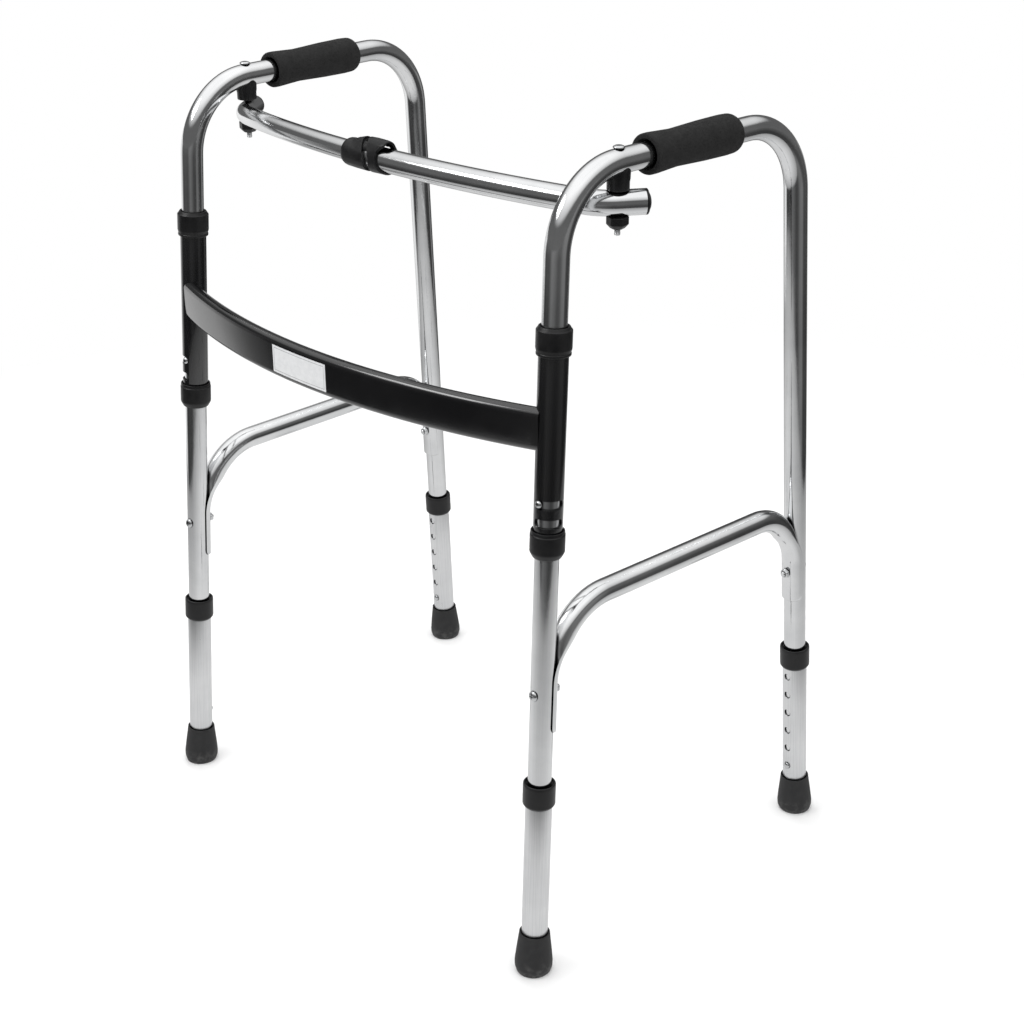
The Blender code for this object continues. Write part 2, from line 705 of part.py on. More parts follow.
def make_plate():
    """The thin blank plate on the lower bar's front."""
    radius, centre_y, _ = bar_arc()
    inner = radius + BAR_THICK / 2 + GAP
    outer = inner + PLATE_THICK
    low, high = BAR_H - PLATE_TALL / 2, BAR_H + PLATE_TALL / 2
    rings = []
    for n in range(PLATE_STEPS + 1):
        angle = (PLATE_X - PLATE_WIDE / 2 + PLATE_WIDE * n / PLATE_STEPS) / radius
        corners = ((inner, low), (outer, low), (outer, high), (inner, high))
        rings.append([bar_point(angle, reach, height, centre_y) for reach, height in corners])
    lofted("blank_plate", rings, Matrix(), plate_foil)


def make_crossbar_half(label, side, radius, start_x):
    path = crossbar_path(side, start_x)
    name = f"upper_crossbar_{label}"
    tube = hollow_tube(name, path, radius, Matrix(), bright_aluminium)
    bolt_at = Matrix.Translation(pivot_point(side))
    cut(tube, cylinder_cutter(f"cut_{name}", BOLT_HOLE_R, 4 * TUBE_R, bolt_at))
    direction = (path[-1] - path[-2]).to_track_quat("Z", "Y").to_matrix().to_4x4()
    plug_r = radius - TUBE_WALL - GAP
    dome = [(0, CAP_RISE), (0.7 * radius, 0.7 * CAP_RISE), (radius, GAP)]
    profile = dome + [(plug_r, GAP), (plug_r, -CAP_PLUG), (0, -CAP_PLUG)]
    at = Matrix.Translation(path[-1]) @ direction
    cap = turned(f"crossbar_end_cap_{label}", profile, at, black_plastic)
    return [tube, cap]


def clip_wedge(name, at, along, angles):
    """A pie-slice cutter round the clip's axis. Its angles go up from straight ahead."""
    length = along[1] - along[0]
    middle = at @ Matrix.Translation((0, 0, (along[0] + along[1]) / 2))
    start, end = (-90 - angle for angle in reversed(angles))
    return wedge_cutter(name, 2 * CLIP_R, length, start, end, middle)


def clip_bore(name, at, radius, along):
    length = along[1] - along[0]
    middle = at @ Matrix.Translation((0, 0, (along[0] + along[1]) / 2))
    return cylinder_cutter(name, radius, length, middle, sides=ROUND)


def make_clip():
    """The snap clip: a collar fixed on the small tube, and a claw that takes the end of the large one."""
    middle_x = (CLIP_FROM + CLIP_TO) / 2
    heading = math.asin(middle_x / CROSSBAR_R1)
    middle_y = crossbar_path(-1, -middle_x)[0].y
    at = Matrix.Translation((middle_x, middle_y, CROSSBAR_H)) @ Matrix.Rotation(heading, 4, "Z")
    at = at @ Matrix.Rotation(math.pi / 2, 4, "Y") @ Matrix.Translation((0, 0, -middle_x))
    profile = [
        (0, CLIP_TO),
        (CLIP_R - CLIP_EDGE / 2, CLIP_TO),
        (CLIP_R, CLIP_TO - CLIP_EDGE / 2),
        (CLIP_R, CLIP_FROM + 2 * CLIP_EDGE),
        (CLIP_R - CLIP_EDGE, CLIP_FROM),
        (0, CLIP_FROM),
    ]
    clip = turned("crossbar_clip", profile, at, black_plastic)
    ridge = [Vector((-rise * MM, 0, x * MM)) for x, rise in HUMP_RISE]
    join(clip, tube_cutter("clip_hump", ridge, HUMP_R, at))
    beyond = 3 * CLIP_R
    collar_span = (CLIP_FROM - beyond, CLAW_FROM + CLIP_EDGE)
    cut(clip, clip_bore("cut_clip_collar", at, SMALL_TUBE_R + CLIP_GAP, collar_span))
    cut(clip, clip_bore("cut_clip_claw", at, TUBE_R + CLIP_GAP, (CLAW_FROM, beyond)))
    mouth_angles = (180 - MOUTH_HALF, 180 + MOUTH_HALF)
    cut(clip, clip_wedge("cut_clip_mouth", at, (MOUTH_FROM, beyond), mouth_angles))
    cut(clip, clip_wedge("cut_clip_groove", at, GROOVE, GROOVE_ANGLES))
    cut(clip, clip_wedge("cut_clip_notch", at, (NOTCH_FROM, beyond), NOTCH_ANGLES))
    return clip


def make_side(label, side):
    """Everything that turns with one side frame. Its legs and its half of the crossbar hang on it."""
    fold_axis = add_empty(f"fold_axis_{label}", leg_matrix(side, 1))
    pieces = [make_handle_frame(label, side), make_grip(label, side), make_brace(label, side)]
    pieces += make_brace_fasteners(label, side)
    pieces.append(make_stop_screw(label, side))
    pieces += make_pivot(label, side)
    for end_label, end in ENDS.items():
        pieces.append(make_button_spring(end_label, label, side))
        leg_axis = add_empty(f"leg_axis_{end_label}_{label}", leg_matrix(side, end))
        leg_pieces = [
            make_extension(end_label, label, side),
            make_leg_collar(end_label, label, side),
            make_foot(end_label, label, side),
        ]
        attach(leg_axis, leg_pieces)
        pieces += [leg_axis, make_button(end_label, label, side)]
    swing_axis = add_empty(f"swing_axis_{label}", Matrix.Translation(pivot_point(side)))
    if side > 0:
        half = make_crossbar_half(label, side, TUBE_R, LARGE_TUBE_START)
    else:
        half = [*make_crossbar_half(label, side, SMALL_TUBE_R, SMALL_TUBE_START), make_clip()]
    attach(swing_axis, half)
    attach(fold_axis, [*pieces, swing_axis])


clear_scene()
parts = new_collection("walking_frame")
cutters = new_collection("cutters")
bright_aluminium = make_material("bright_aluminium", (0.78, 0.79, 0.80), 0.14, 1.0)
satin_aluminium = make_material("satin_aluminium", (0.80, 0.80, 0.80), 0.38, 0.9)
plated_steel = make_material("plated_steel", (0.70, 0.71, 0.72), 0.22, 1.0)
spring_steel = make_material("spring_steel", (0.45, 0.45, 0.47), 0.35, 1.0)
black_paint = make_material("black_paint", (0.015, 0.015, 0.017), 0.12, 0.0)
black_plastic = make_material("black_plastic", (0.025, 0.025, 0.027), 0.42, 0.0)
black_foam = make_material("black_foam", (0.03, 0.03, 0.03), 0.85, 0.0)
black_rubber = make_material("black_rubber", (0.03, 0.03, 0.032), 0.7, 0.0)
plate_foil = make_material("plate_foil", (0.62, 0.62, 0.63), 0.35, 0.8)

make_lower_bar()
make_plate()
for side_label, side_sign in SIDES.items():
    make_sleeve(side_label, side_sign)
    make_side(side_label, side_sign)
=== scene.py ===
"""Looks of the folding walking frame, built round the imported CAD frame.

Metres, +Z up, on the floor. The user stands on the +Y side and faces -Y, so +X is the user's left. In "leg
coordinates" z runs up the leg's axis from the floor and y is rearward. In "side coordinates" y runs from the
front leg to the rear one and z stays in the side frame's plane.
"""

import json
import math

import bmesh
import bpy
from mathutils import Matrix, Vector


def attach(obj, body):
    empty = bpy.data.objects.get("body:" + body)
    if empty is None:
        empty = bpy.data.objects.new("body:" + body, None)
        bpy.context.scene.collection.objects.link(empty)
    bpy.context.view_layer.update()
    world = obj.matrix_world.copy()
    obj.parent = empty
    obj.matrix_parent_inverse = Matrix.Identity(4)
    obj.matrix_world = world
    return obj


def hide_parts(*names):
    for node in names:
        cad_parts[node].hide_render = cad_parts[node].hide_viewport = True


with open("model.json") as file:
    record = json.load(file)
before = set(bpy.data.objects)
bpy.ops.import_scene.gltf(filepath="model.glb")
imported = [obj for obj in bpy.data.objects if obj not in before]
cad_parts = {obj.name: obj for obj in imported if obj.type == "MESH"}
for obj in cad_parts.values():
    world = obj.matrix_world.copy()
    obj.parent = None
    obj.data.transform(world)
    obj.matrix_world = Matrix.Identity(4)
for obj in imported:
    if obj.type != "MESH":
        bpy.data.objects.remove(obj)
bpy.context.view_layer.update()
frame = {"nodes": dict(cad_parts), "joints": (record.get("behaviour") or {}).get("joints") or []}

MM = 0.001
FIT = 0.15 * MM                      # gap left between neighbouring pieces
SIDES = {"left": 1, "right": -1}
ENDS = {"front": 1, "rear": -1}      # the way a leg faces the other one
ROUND = 64
SMALL_ROUND = 32
ARC_STEPS = 5

# Sizes that the frame's nodes don't give directly
TUBE_WALL = 1.5 * MM
HANDLE_BEND_R = 82 * MM
CROSSBAR_R1 = 1309 * MM
CROSSBAR_R2 = 45 * MM
CROSSBAR_END_ANGLE = math.radians(55)
CROSSBAR_TAIL = 27 * MM
BRACE_KNEES = (425 * MM, 418.5 * MM)     # front and rear, as for the next one
BRACE_BEND_R = (75 * MM, 60 * MM)
BRACE_OFFSET = 14 * MM               # centreline of each end, from the leg's axis
BRACE_WRAP_R = 15.4 * MM             # outside of the pressed end, which wraps round the leg
BRACE_WRAP = math.radians(80)        # to each side
BRACE_ROUND_FROM = 396 * MM
BRACE_PRESS_LENGTH = 46 * MM
BOLT_R = 3 * MM
KNOB_TURN = math.radians(12)
HOLE_R = 4.5 * MM
HOLE_PITCH = 25.4 * MM
HOLE_COUNT = 6
SLOT_ANGLES = (-20, 112)             # degrees from straight ahead, towards the outer side
SLOT_PITCH = 20 * MM
SLOT_TALL = 9.6 * MM
BAR_BULGE = 51.5 * MM
BAR_FORWARD = 6 * MM
BAR_END_INSET = 5.5 * MM
BAR_THICK = 16 * MM
BAR_CORNER_R = 7.4 * MM


# Measuring the frame

def points_of(name, matrix=Matrix()):
    """A CAD node's vertices in the coordinates of a matrix."""
    to_local = matrix.inverted()
    return [to_local @ vertex.co for vertex in frame["nodes"][name].data.vertices]


def span(name, matrix=Matrix(), axis=2):
    values = [point[axis] for point in points_of(name, matrix)]
    return min(values), max(values)


def outer_radius(name, matrix):
    return max(point.xy.length for point in points_of(name, matrix))


def joint(name):
    return next(entry for entry in frame["joints"] if entry["name"] == name)


def direction(name):
    return Vector(joint(name)["axis"]).normalized()


def axes_matrix(x, y, z, origin):
    matrix = Matrix((x, y, z)).transposed().to_4x4()
    matrix.translation = origin
    return matrix


def leg_matrix(end_label, label):
    up = -direction(f"leg_slide_{end_label}_{label}")
    rear = -ENDS[end_label] * direction(f"button_press_{end_label}_{label}")
    turned_frame = axes_matrix(rear.cross(up), rear, up, Vector())
    collar = f"leg_collar_{end_label}_{label}"
    middle = Vector([sum(span(collar, turned_frame, axis)) / 2 for axis in range(3)])
    centre = turned_frame @ middle
    return axes_matrix(rear.cross(up), rear, up, centre - up * centre.z / up.z)


def side_matrix(label):
    front, rear = legs["front", label], legs["rear", label]
    back = (rear.translation - front.translation).normalized()
    up = (front.col[2].xyz + rear.col[2].xyz).normalized()
    middle = (front.translation + rear.translation) / 2
    return axes_matrix(back.cross(up), back, up, middle)


def across(end, height):
    """In leg coordinates, a frame whose z points at the other leg."""
    return Matrix.Translation((0, 0, height)) @ Matrix.Rotation(-end * math.pi / 2, 4, "X")


legs = {(end, label): leg_matrix(end, label) for end in ENDS for label in SIDES}
side_frames = {label: side_matrix(label) for label in SIDES}
pivots = {label: Vector(joint(f"crossbar_swing_{label}")["pos_m"]) for label in SIDES}

TUBE_R = sum(abs(x) for x in span("handle_frame_left", side_frames["left"], 0)) / 2
HANDLE_H = span("handle_frame_left", side_frames["left"])[1] - TUBE_R
LEG_BOTTOM_H = span("handle_frame_left", legs["front", "left"])[0]
HALF_STANCE = (legs["rear", "left"].translation - legs["front", "left"].translation).length / 2
LEG_LEAN = legs["front", "left"].col[2].xyz.angle(side_frames["left"].col[2].xyz)
EXTENSION = span("leg_extension_front_left", legs["front", "left"])
EXTENSION_R = outer_radius("leg_extension_front_left", legs["front", "left"])
BUTTON_H = sum(span("snap_button_front_left", legs["front", "left"])) / 2
SLEEVE = span("fold_sleeve_left", legs["front", "left"])
SLEEVE_R = outer_radius("fold_sleeve_left", legs["front", "left"])
SCREW_H = sum(span("fold_stop_screw_left", legs["front", "left"])) / 2
BRACE_ENDS = [
    min(point.z for point in points_of("side_brace_left", side_frames["left"]) if end * point.y < 0)
    for end in ENDS.values()
]
BRACE_BOLT_H = sum(span("brace_nut_front_left", legs["front", "left"])) / 2
BAR_SPAN = span("lower_crossbar")
SMALL_TUBE_R = (span("upper_crossbar_right")[1] - span("upper_crossbar_right")[0]) / 2
CROSSBAR_H = pivots["left"].z


# Paths and profiles

def rounded(corners, steps=ARC_STEPS, closed=False):
    """A polyline through (point, fillet radius) corners, with an arc at each one that has a radius."""
    count = len(corners)
    points = []
    for n, (corner, radius) in enumerate(corners):
        if not radius or (not closed and n in (0, count - 1)):
            points.append(corner)
            continue
        before = corners[n - 1][0]
        after = corners[(n + 1) % count][0]
        into = (corner - before).normalized()
        out = (after - corner).normalized()
        turn = into.angle(out)
        start = corner - into * radius * math.tan(turn / 2)
        side = (out - into * into.dot(out)).normalized()
        for m in range(steps + 1):
            angle = turn * m / steps
            points.append(start + into * radius * math.sin(angle) + side * radius * (1 - math.cos(angle)))
    return points


def profile(*corners, steps=ARC_STEPS, closed=False):
    """(radius, height, fillet) corners in millimetres made a fine outline."""
    made = [(Vector((radius, 0, height)) * MM, fillet * MM) for radius, height, fillet in corners]
    return rounded(made, steps, closed)


def ring(radius, height, sides=ROUND):
    angles = [2 * math.pi * n / sides for n in range(sides)]
    return [Vector((radius * math.cos(a), radius * math.sin(a), height)) for a in angles]


def swept_frames(path, first_side=Vector((1, 0, 0))):
    """A point and two cross directions at each step of a path, without twist."""
    made = []
    side = first_side
    for n, point in enumerate(path):
        ahead = (path[min(n + 1, len(path) - 1)] - path[max(n - 1, 0)]).normalized()
        side = (side - ahead * side.dot(ahead)).normalized()
        made.append((point, side, ahead.cross(side)))
    return made


def handle_path():
    top_y = HALF_STANCE - HANDLE_H * math.tan(LEG_LEAN)
    bottom_y = HALF_STANCE - LEG_BOTTOM_H * math.sin(LEG_LEAN)
    bottom_z = LEG_BOTTOM_H * math.cos(LEG_LEAN)
    corners = [
        (Vector((0, -bottom_y, bottom_z)), 0),
        (Vector((0, -top_y, HANDLE_H)), HANDLE_BEND_R),
        (Vector((0, top_y, HANDLE_H)), HANDLE_BEND_R),
        (Vector((0, bottom_y, bottom_z)), 0),
    ]
    return rounded(corners, steps=28)


def crossbar_middle():
    """Heading where the bow meets the end bend, and y of the bow's middle."""
    pivot = pivots["left"]
    reach = pivot.x - CROSSBAR_R2 * math.sin(CROSSBAR_END_ANGLE)
    bow = math.asin(reach / (CROSSBAR_R1 - CROSSBAR_R2))
    bow_drop = CROSSBAR_R1 * (1 - math.cos(bow))
    return bow, pivot.y - bow_drop - CROSSBAR_R2 * (math.cos(bow) - math.cos(CROSSBAR_END_ANGLE))


def crossbar_path(side, start_x, tail):
    bow, middle_y = crossbar_middle()
    first = math.asin(start_x / CROSSBAR_R1)
    points = []
    for n in range(25):
        angle = first + (bow - first) * n / 24
        points.append((CROSSBAR_R1 * math.sin(angle), middle_y + CROSSBAR_R1 * (1 - math.cos(angle))))
    x, y = points[-1]
    for n in range(1, 17):
        angle = bow + (CROSSBAR_END_ANGLE - bow) * n / 16
        along = CROSSBAR_R2 * (math.sin(angle) - math.sin(bow))
        points.append((x + along, y + CROSSBAR_R2 * (math.cos(bow) - math.cos(angle))))
    x, y = points[-1]
    points.append((x + tail * math.cos(CROSSBAR_END_ANGLE), y + tail * math.sin(CROSSBAR_END_ANGLE)))
    return [Vector((side * px, py, CROSSBAR_H)) for px, py in points]


# Meshes

def skin(rows, wrap=False):
    """Faces over rings of points. Their UV is the share of a turn, and metres along the rings."""
    shape = bmesh.new()
    layer = shape.loops.layers.uv.new("around_along")
    count = len(rows[0])
    verts = [[shape.verts.new(point) for point in row] for row in rows]
    along = [0]
    for lower, upper in zip(rows, rows[1:] + rows[:1]):
        along.append(along[-1] + (upper[0] - lower[0]).length)
    for i in range(len(rows) if wrap else len(rows) - 1):
        lower, upper = verts[i], verts[(i + 1) % len(rows)]
        for n in range(count):
            m = (n + 1) % count
            face = shape.faces.new((lower[n], lower[m], upper[m], upper[n]))
            places = ((n, i), (n + 1, i), (n + 1, i + 1), (n, i + 1))
            for loop, (u, v) in zip(face.loops, places):
                loop[layer].uv = (u / count, along[v])
    if not wrap:
        shape.faces.new(verts[0])
        shape.faces.new(verts[-1])
    bmesh.ops.remove_doubles(shape, verts=shape.verts, dist=1e-6)
    bmesh.ops.recalc_face_normals(shape, faces=shape.faces)
    return shape


def turned(outline, sides=ROUND, wrap=False, scale=None):
    """An outline turned about z. A scale function may change the radius by angle and height."""
    rows = []
    for point in outline:
        row = ring(1, point.z, sides)
        for n, place in enumerate(row):
            share = scale(2 * math.pi * n / sides, point) if scale else 1
            place.x *= point.x * share
            place.y *= point.x * share
        rows.append(row)
    return skin(rows, wrap)


def pipe(radius, bore, low, high):
    """A straight pipe along z, in millimetres, with its edges broken."""
    outline = profile(
        (radius, low, 0.3), (radius, high, 0.3), (bore, high, 0.2), (bore, low, 0.2), closed=True, steps=2
    )
    return turned(outline, wrap=True)


def tube(path, radius, wall=TUBE_WALL, edge=0.4 * MM, sides=ROUND):
    """A hollow tube along a path, with its end edges rounded."""
    start_ahead = (path[1] - path[0]).normalized()
    end_ahead = (path[-1] - path[-2]).normalized()
    frames = swept_frames(path, Vector((0, 0, 1)) if abs(start_ahead.z) < 0.7 else Vector((1, 0, 0)))

    def circle(at, size, shift=Vector()):
        point, side, up = at
        angles = [2 * math.pi * n / sides for n in range(sides)]
        return [point + shift + side * size * math.cos(a) + up * size * math.sin(a) for a in angles]

    outer = [circle(frames[0], radius - edge)]
    outer.append(circle(frames[0], radius, start_ahead * edge))
    outer += [circle(at, radius) for at in frames[1:-1]]
    outer.append(circle(frames[-1], radius, -end_ahead * edge))
    outer.append(circle(frames[-1], radius - edge))
    inner = [circle(at, radius - wall) for at in reversed(frames)]
    return skin(outer + inner, wrap=True)


def object_of(name, shape, matrix=Matrix()):
    mesh = bpy.data.meshes.new(name)
    shape.to_mesh(mesh)
    shape.free()
    mesh.transform(matrix)
    obj = bpy.data.objects.new(name, mesh)
    bpy.context.scene.collection.objects.link(obj)
    return obj


def cutter(shape, matrix):
    return object_of("cutter", shape, matrix)


def rod(radius, low, high, matrix, sides=SMALL_ROUND):
    return cutter(skin([ring(radius, low, sides), ring(radius, high, sides)]), matrix)


def slab(low, high, matrix, taper=1.0):
    """A cutting block between two corners. Taper narrows its low end."""
    rows = []
    for z, share in ((low[2], taper), (high[2], 1)):
        corners = ((low[0], low[1]), (high[0], low[1]), (high[0], high[1]), (low[0], high[1]))
        rows.append([Vector((x * share, y * share, z)) for x, y in corners])
    return cutter(skin(rows), matrix)


def cut(obj, cutters):
    """Cuts the cutters out of obj, for good."""
    for other in cutters:
        modifier = obj.modifiers.new("cut", "BOOLEAN")
        modifier.solver = "EXACT"
        modifier.object = other
    bpy.context.view_layer.update()
    graph = bpy.context.evaluated_depsgraph_get()
    mesh = bpy.data.meshes.new_from_object(obj.evaluated_get(graph))
    obj.modifiers.clear()
    obj.data = mesh
    for other in cutters:
        bpy.data.objects.remove(other, do_unlink=True)
    return obj


def dress(obj, finish, body, *stands_for, sharp=32):
    """Gives a piece its material, and puts it on its body in place of its CAD nodes."""
    obj.data.materials.clear()
    obj.data.materials.append(materials[finish])
    obj.data.shade_smooth()
    obj.data.set_sharp_from_angle(angle=math.radians(sharp))
    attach(obj, body)
    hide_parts(*stands_for)
    return obj


def stand_in(name, shape, matrix, finish, body, cutters=(), sharp=32):
    """A finer piece in place of the CAD node of the same name."""
    obj = object_of(f"{name}.fine", shape, matrix)
    if cutters:
        cut(obj, cutters)
    return dress(obj, finish, body, name, sharp=sharp)


# Materials

def node(tree, kind, inputs=None, **settings):
    made = tree.nodes.new(kind)
    for key, value in settings.items():
        setattr(made, key, value)
    for key, value in (inputs or {}).items():
        if isinstance(value, bpy.types.NodeSocket):
            tree.links.new(value, made.inputs[key])
        else:
            made.inputs[key].default_value = value
    return made


def math_node(tree, operation, *values, clamp=False):
    made = node(tree, "ShaderNodeMath", dict(enumerate(values)), operation=operation)
    made.use_clamp = clamp
    return made.outputs[0]


def noise(tree, place, scale, detail=3, roughness=0.55):
    inputs = {"Vector": place, "Scale": scale, "Detail": detail, "Roughness": roughness}
    return node(tree, "ShaderNodeTexNoise", inputs).outputs["Fac"]


def spread(tree, value, low, high, to_low=0.0, to_high=1.0):
    """Maps a value's range to another one, with its ends clamped."""
    inputs = {"Value": value, 1: low, 2: high, 3: to_low, 4: to_high}
    return node(tree, "ShaderNodeMapRange", inputs).outputs[0]


def mixed(tree, share, first, second):
    made = node(tree, "ShaderNodeMix", data_type="RGBA")
    for socket, value in ((made.inputs["Factor"], share), (made.inputs[6], first), (made.inputs[7], second)):
        if isinstance(value, bpy.types.NodeSocket):
            tree.links.new(value, socket)
        elif isinstance(value, tuple):
            socket.default_value = (*value, 1)
        else:
            socket.default_value = value
    return made.outputs[2]


def bump(tree, height, distance, strength=1.0, below=None):
    inputs = {"Height": height, "Distance": distance, "Strength": strength}
    if below:
        inputs["Normal"] = below
    return node(tree, "ShaderNodeBump", inputs).outputs[0]


def object_place(tree):
    return node(tree, "ShaderNodeTexCoord").outputs["Object"]


def wrapped_place(tree, around, along):
    """A seamless place on a tube from its UV: how much detail there is round it, and per metre along it."""
    uv = node(tree, "ShaderNodeUVMap", uv_map="around_along").outputs[0]
    parts = node(tree, "ShaderNodeSeparateXYZ", {0: uv}).outputs
    turn = math_node(tree, "MULTIPLY", parts[0], 2 * math.pi)
    x = math_node(tree, "MULTIPLY", math_node(tree, "COSINE", turn), around)
    y = math_node(tree, "MULTIPLY", math_node(tree, "SINE", turn), around)
    z = math_node(tree, "MULTIPLY", parts[1], along)
    return node(tree, "ShaderNodeCombineXYZ", {0: x, 1: y, 2: z}).outputs[0]


def new_material(name):
    material = bpy.data.materials.new(name)
    material.use_nodes = True
    tree = material.node_tree
    return material, tree, tree.nodes["Principled BSDF"]


def set_inputs(tree, shader, **inputs):
    for key, value in inputs.items():
        socket = shader.inputs[key.replace("_", " ")]
        if isinstance(value, bpy.types.NodeSocket):
            tree.links.new(value, socket)
        elif isinstance(value, tuple):
            socket.default_value = (*value, 1)
        else:
            socket.default_value = value


def scratches(tree, place, scale, amount):
    """Thin, sparse lines where a stretched noise crosses its middle."""
    lines = math_node(tree, "ABSOLUTE", math_node(tree, "SUBTRACT", noise(tree, place, scale, 2), 0.5))
    thin = spread(tree, lines, 0.0, 0.006, 1.0, 0.0)
    patches = spread(tree, noise(tree, place, scale * 0.4, 1), 0.55, 0.7)
    return math_node(tree, "MULTIPLY", math_node(tree, "MULTIPLY", thin, patches), amount)


def metal(name, bright, dull, rough, streaks, waviness):
    """Drawn aluminium or plated steel: streaks, smudges, draw lines, a few scratches, and painted shade in
    crevices.
    """
    material, tree, shader = new_material(name)
    streak = noise(tree, wrapped_place(tree, 6, 5), 2.0, 4, 0.6)
    smudge = noise(tree, object_place(tree), 14, 4)
    mark = scratches(tree, wrapped_place(tree, 1.2, 22), 3.0, 1.0)
    shade = math_node(tree, "ADD", math_node(tree, "MULTIPLY", streak, streaks), smudge)
    unshaded_colour = mixed(tree, spread(tree, shade, 0.35, 0.75 + streaks * 0.5), dull, bright)
    # Painted shade: ambient occlusion darkens the colour towards near black in crevices, holes and gaps.
    painted_crevice_shade = node(tree, "ShaderNodeAmbientOcclusion", {"Distance": 5 * MM}, samples=8).outputs["AO"]
    colour = mixed(tree, spread(tree, painted_crevice_shade, 0.35, 0.85), (0.03, 0.03, 0.03), unshaded_colour)
    worn = math_node(tree, "ADD", smudge, math_node(tree, "MULTIPLY", mark, 0.5))
    roughness = spread(tree, worn, 0.3, 0.9, *rough)
    draw = noise(tree, wrapped_place(tree, 60, 8), 4.0, 2)
    fine = bump(tree, draw, 0.05 * MM, 0.25)
    wave = noise(tree, object_place(tree), 22, 1)
    normal = bump(tree, wave, waviness, 1.0, below=fine)
    set_inputs(tree, shader, Base_Color=colour, Metallic=1.0, Roughness=roughness, Normal=normal)
    return material


def gloss_black():
    """Powder coat: deep black with a faint orange peel and rubbed, duller patches."""
    material, tree, shader = new_material("gloss_black")
    place = object_place(tree)
    peel = noise(tree, place, 420, 2)
    rub = noise(tree, place, 18, 5, 0.65)
    mark = scratches(tree, place, 24, 1.0)
    colour = mixed(tree, mark, (0.003, 0.003, 0.0035), (0.04, 0.04, 0.042))
    roughness = spread(tree, math_node(tree, "ADD", rub, mark), 0.35, 0.85, 0.09, 0.24)
    wave = bump(tree, noise(tree, place, 30, 1), 0.12 * MM, 1.0)
    normal = bump(tree, peel, 0.04 * MM, 0.6, below=wave)
    set_inputs(tree, shader, Base_Color=colour, Roughness=roughness, Normal=normal, Coat_Weight=0.5)
    set_inputs(tree, shader, Coat_Roughness=0.05, IOR=1.75)
    return material


def black_plastic():
    """Moulded nylon: spark-eroded grain, patchy tone, and slightly greyed edges, which are both wear and a
    painted edge highlight.
    """
    material, tree, shader = new_material("black_plastic")
    place = object_place(tree)
    patches = noise(tree, place, 60, 4, 0.6)
    # Sharp edges turn lighter grey in patches: edge wear, and also a painted edge highlight.
    edges = node(tree, "ShaderNodeNewGeometry").outputs["Pointiness"]
    worn = math_node(tree, "MULTIPLY", spread(tree, edges, 0.52, 0.62), spread(tree, patches, 0.4, 0.7))
    body = mixed(tree, spread(tree, patches, 0.3, 0.8), (0.004, 0.004, 0.0045), (0.010, 0.010, 0.0105))
    colour = mixed(tree, worn, body, (0.06, 0.06, 0.06))
    roughness = spread(tree, patches, 0.25, 0.8, 0.26, 0.46)
    grain = noise(tree, place, 2400, 2, 0.7)
    normal = bump(tree, grain, 0.05 * MM, 0.5, below=bump(tree, noise(tree, place, 120, 1), 0.1 * MM, 0.6))
    set_inputs(tree, shader, Base_Color=colour, Roughness=roughness, Normal=normal, Specular_IOR_Level=0.4)
    return material


def foam():
    """Closed-cell foam: matt, with open pores darkened by painted shade, and slightly polished high spots.
    """
    material, tree, shader = new_material("foam")
    place = object_place(tree)
    pores = node(tree, "ShaderNodeTexVoronoi", {"Vector": place, "Scale": 900.0}).outputs["Distance"]
    lumps = noise(tree, place, 90, 5, 0.7)
    shaded_pits = spread(tree, noise(tree, place, 700, 3, 0.7), 0.3, 0.5)
    body = mixed(tree, lumps, (0.011, 0.011, 0.011), (0.024, 0.024, 0.024))
    # Painted shade: the colour goes near black in the pits, where the bump sinks.
    colour = mixed(tree, shaded_pits, (0.004, 0.004, 0.004), body)
    cells = math_node(tree, "MULTIPLY", pores, 0.6)
    height = math_node(tree, "ADD", cells, math_node(tree, "MULTIPLY", shaded_pits, 0.5))
    normal = bump(tree, height, 0.35 * MM, 0.5, below=bump(tree, lumps, 0.5 * MM, 0.6))
    roughness = spread(tree, lumps, 0.3, 0.8, 0.95, 0.72)
    set_inputs(tree, shader, Base_Color=colour, Roughness=roughness, Normal=normal, Specular_IOR_Level=0.25)
    return material


def rubber():
    """Dark grey rubber, dusty near the floor and scuffed."""
    material, tree, shader = new_material("rubber")
    place = object_place(tree)
    height = node(tree, "ShaderNodeSeparateXYZ", {0: place}).outputs[2]
    cloud = noise(tree, place, 130, 5, 0.7)
    low = spread(tree, height, 0.0, 0.02, 1.0, 0.0)
    low = math_node(tree, "ADD", low, 0.12)
    dust = math_node(tree, "MULTIPLY", spread(tree, cloud, 0.45, 0.75), low, clamp=True)
    body = mixed(tree, cloud, (0.006, 0.006, 0.0065), (0.018, 0.018, 0.019))
    colour = mixed(tree, dust, body, (0.11, 0.108, 0.105))
    scuff = bump(tree, noise(tree, place, 900, 3, 0.7), 0.12 * MM, 0.5)
    normal = bump(tree, noise(tree, place, 60, 2), 0.3 * MM, 0.6, below=scuff)
    roughness = spread(tree, cloud, 0.3, 0.75, 0.5, 0.78)
    set_inputs(tree, shader, Base_Color=colour, Roughness=roughness, Normal=normal)
    return material


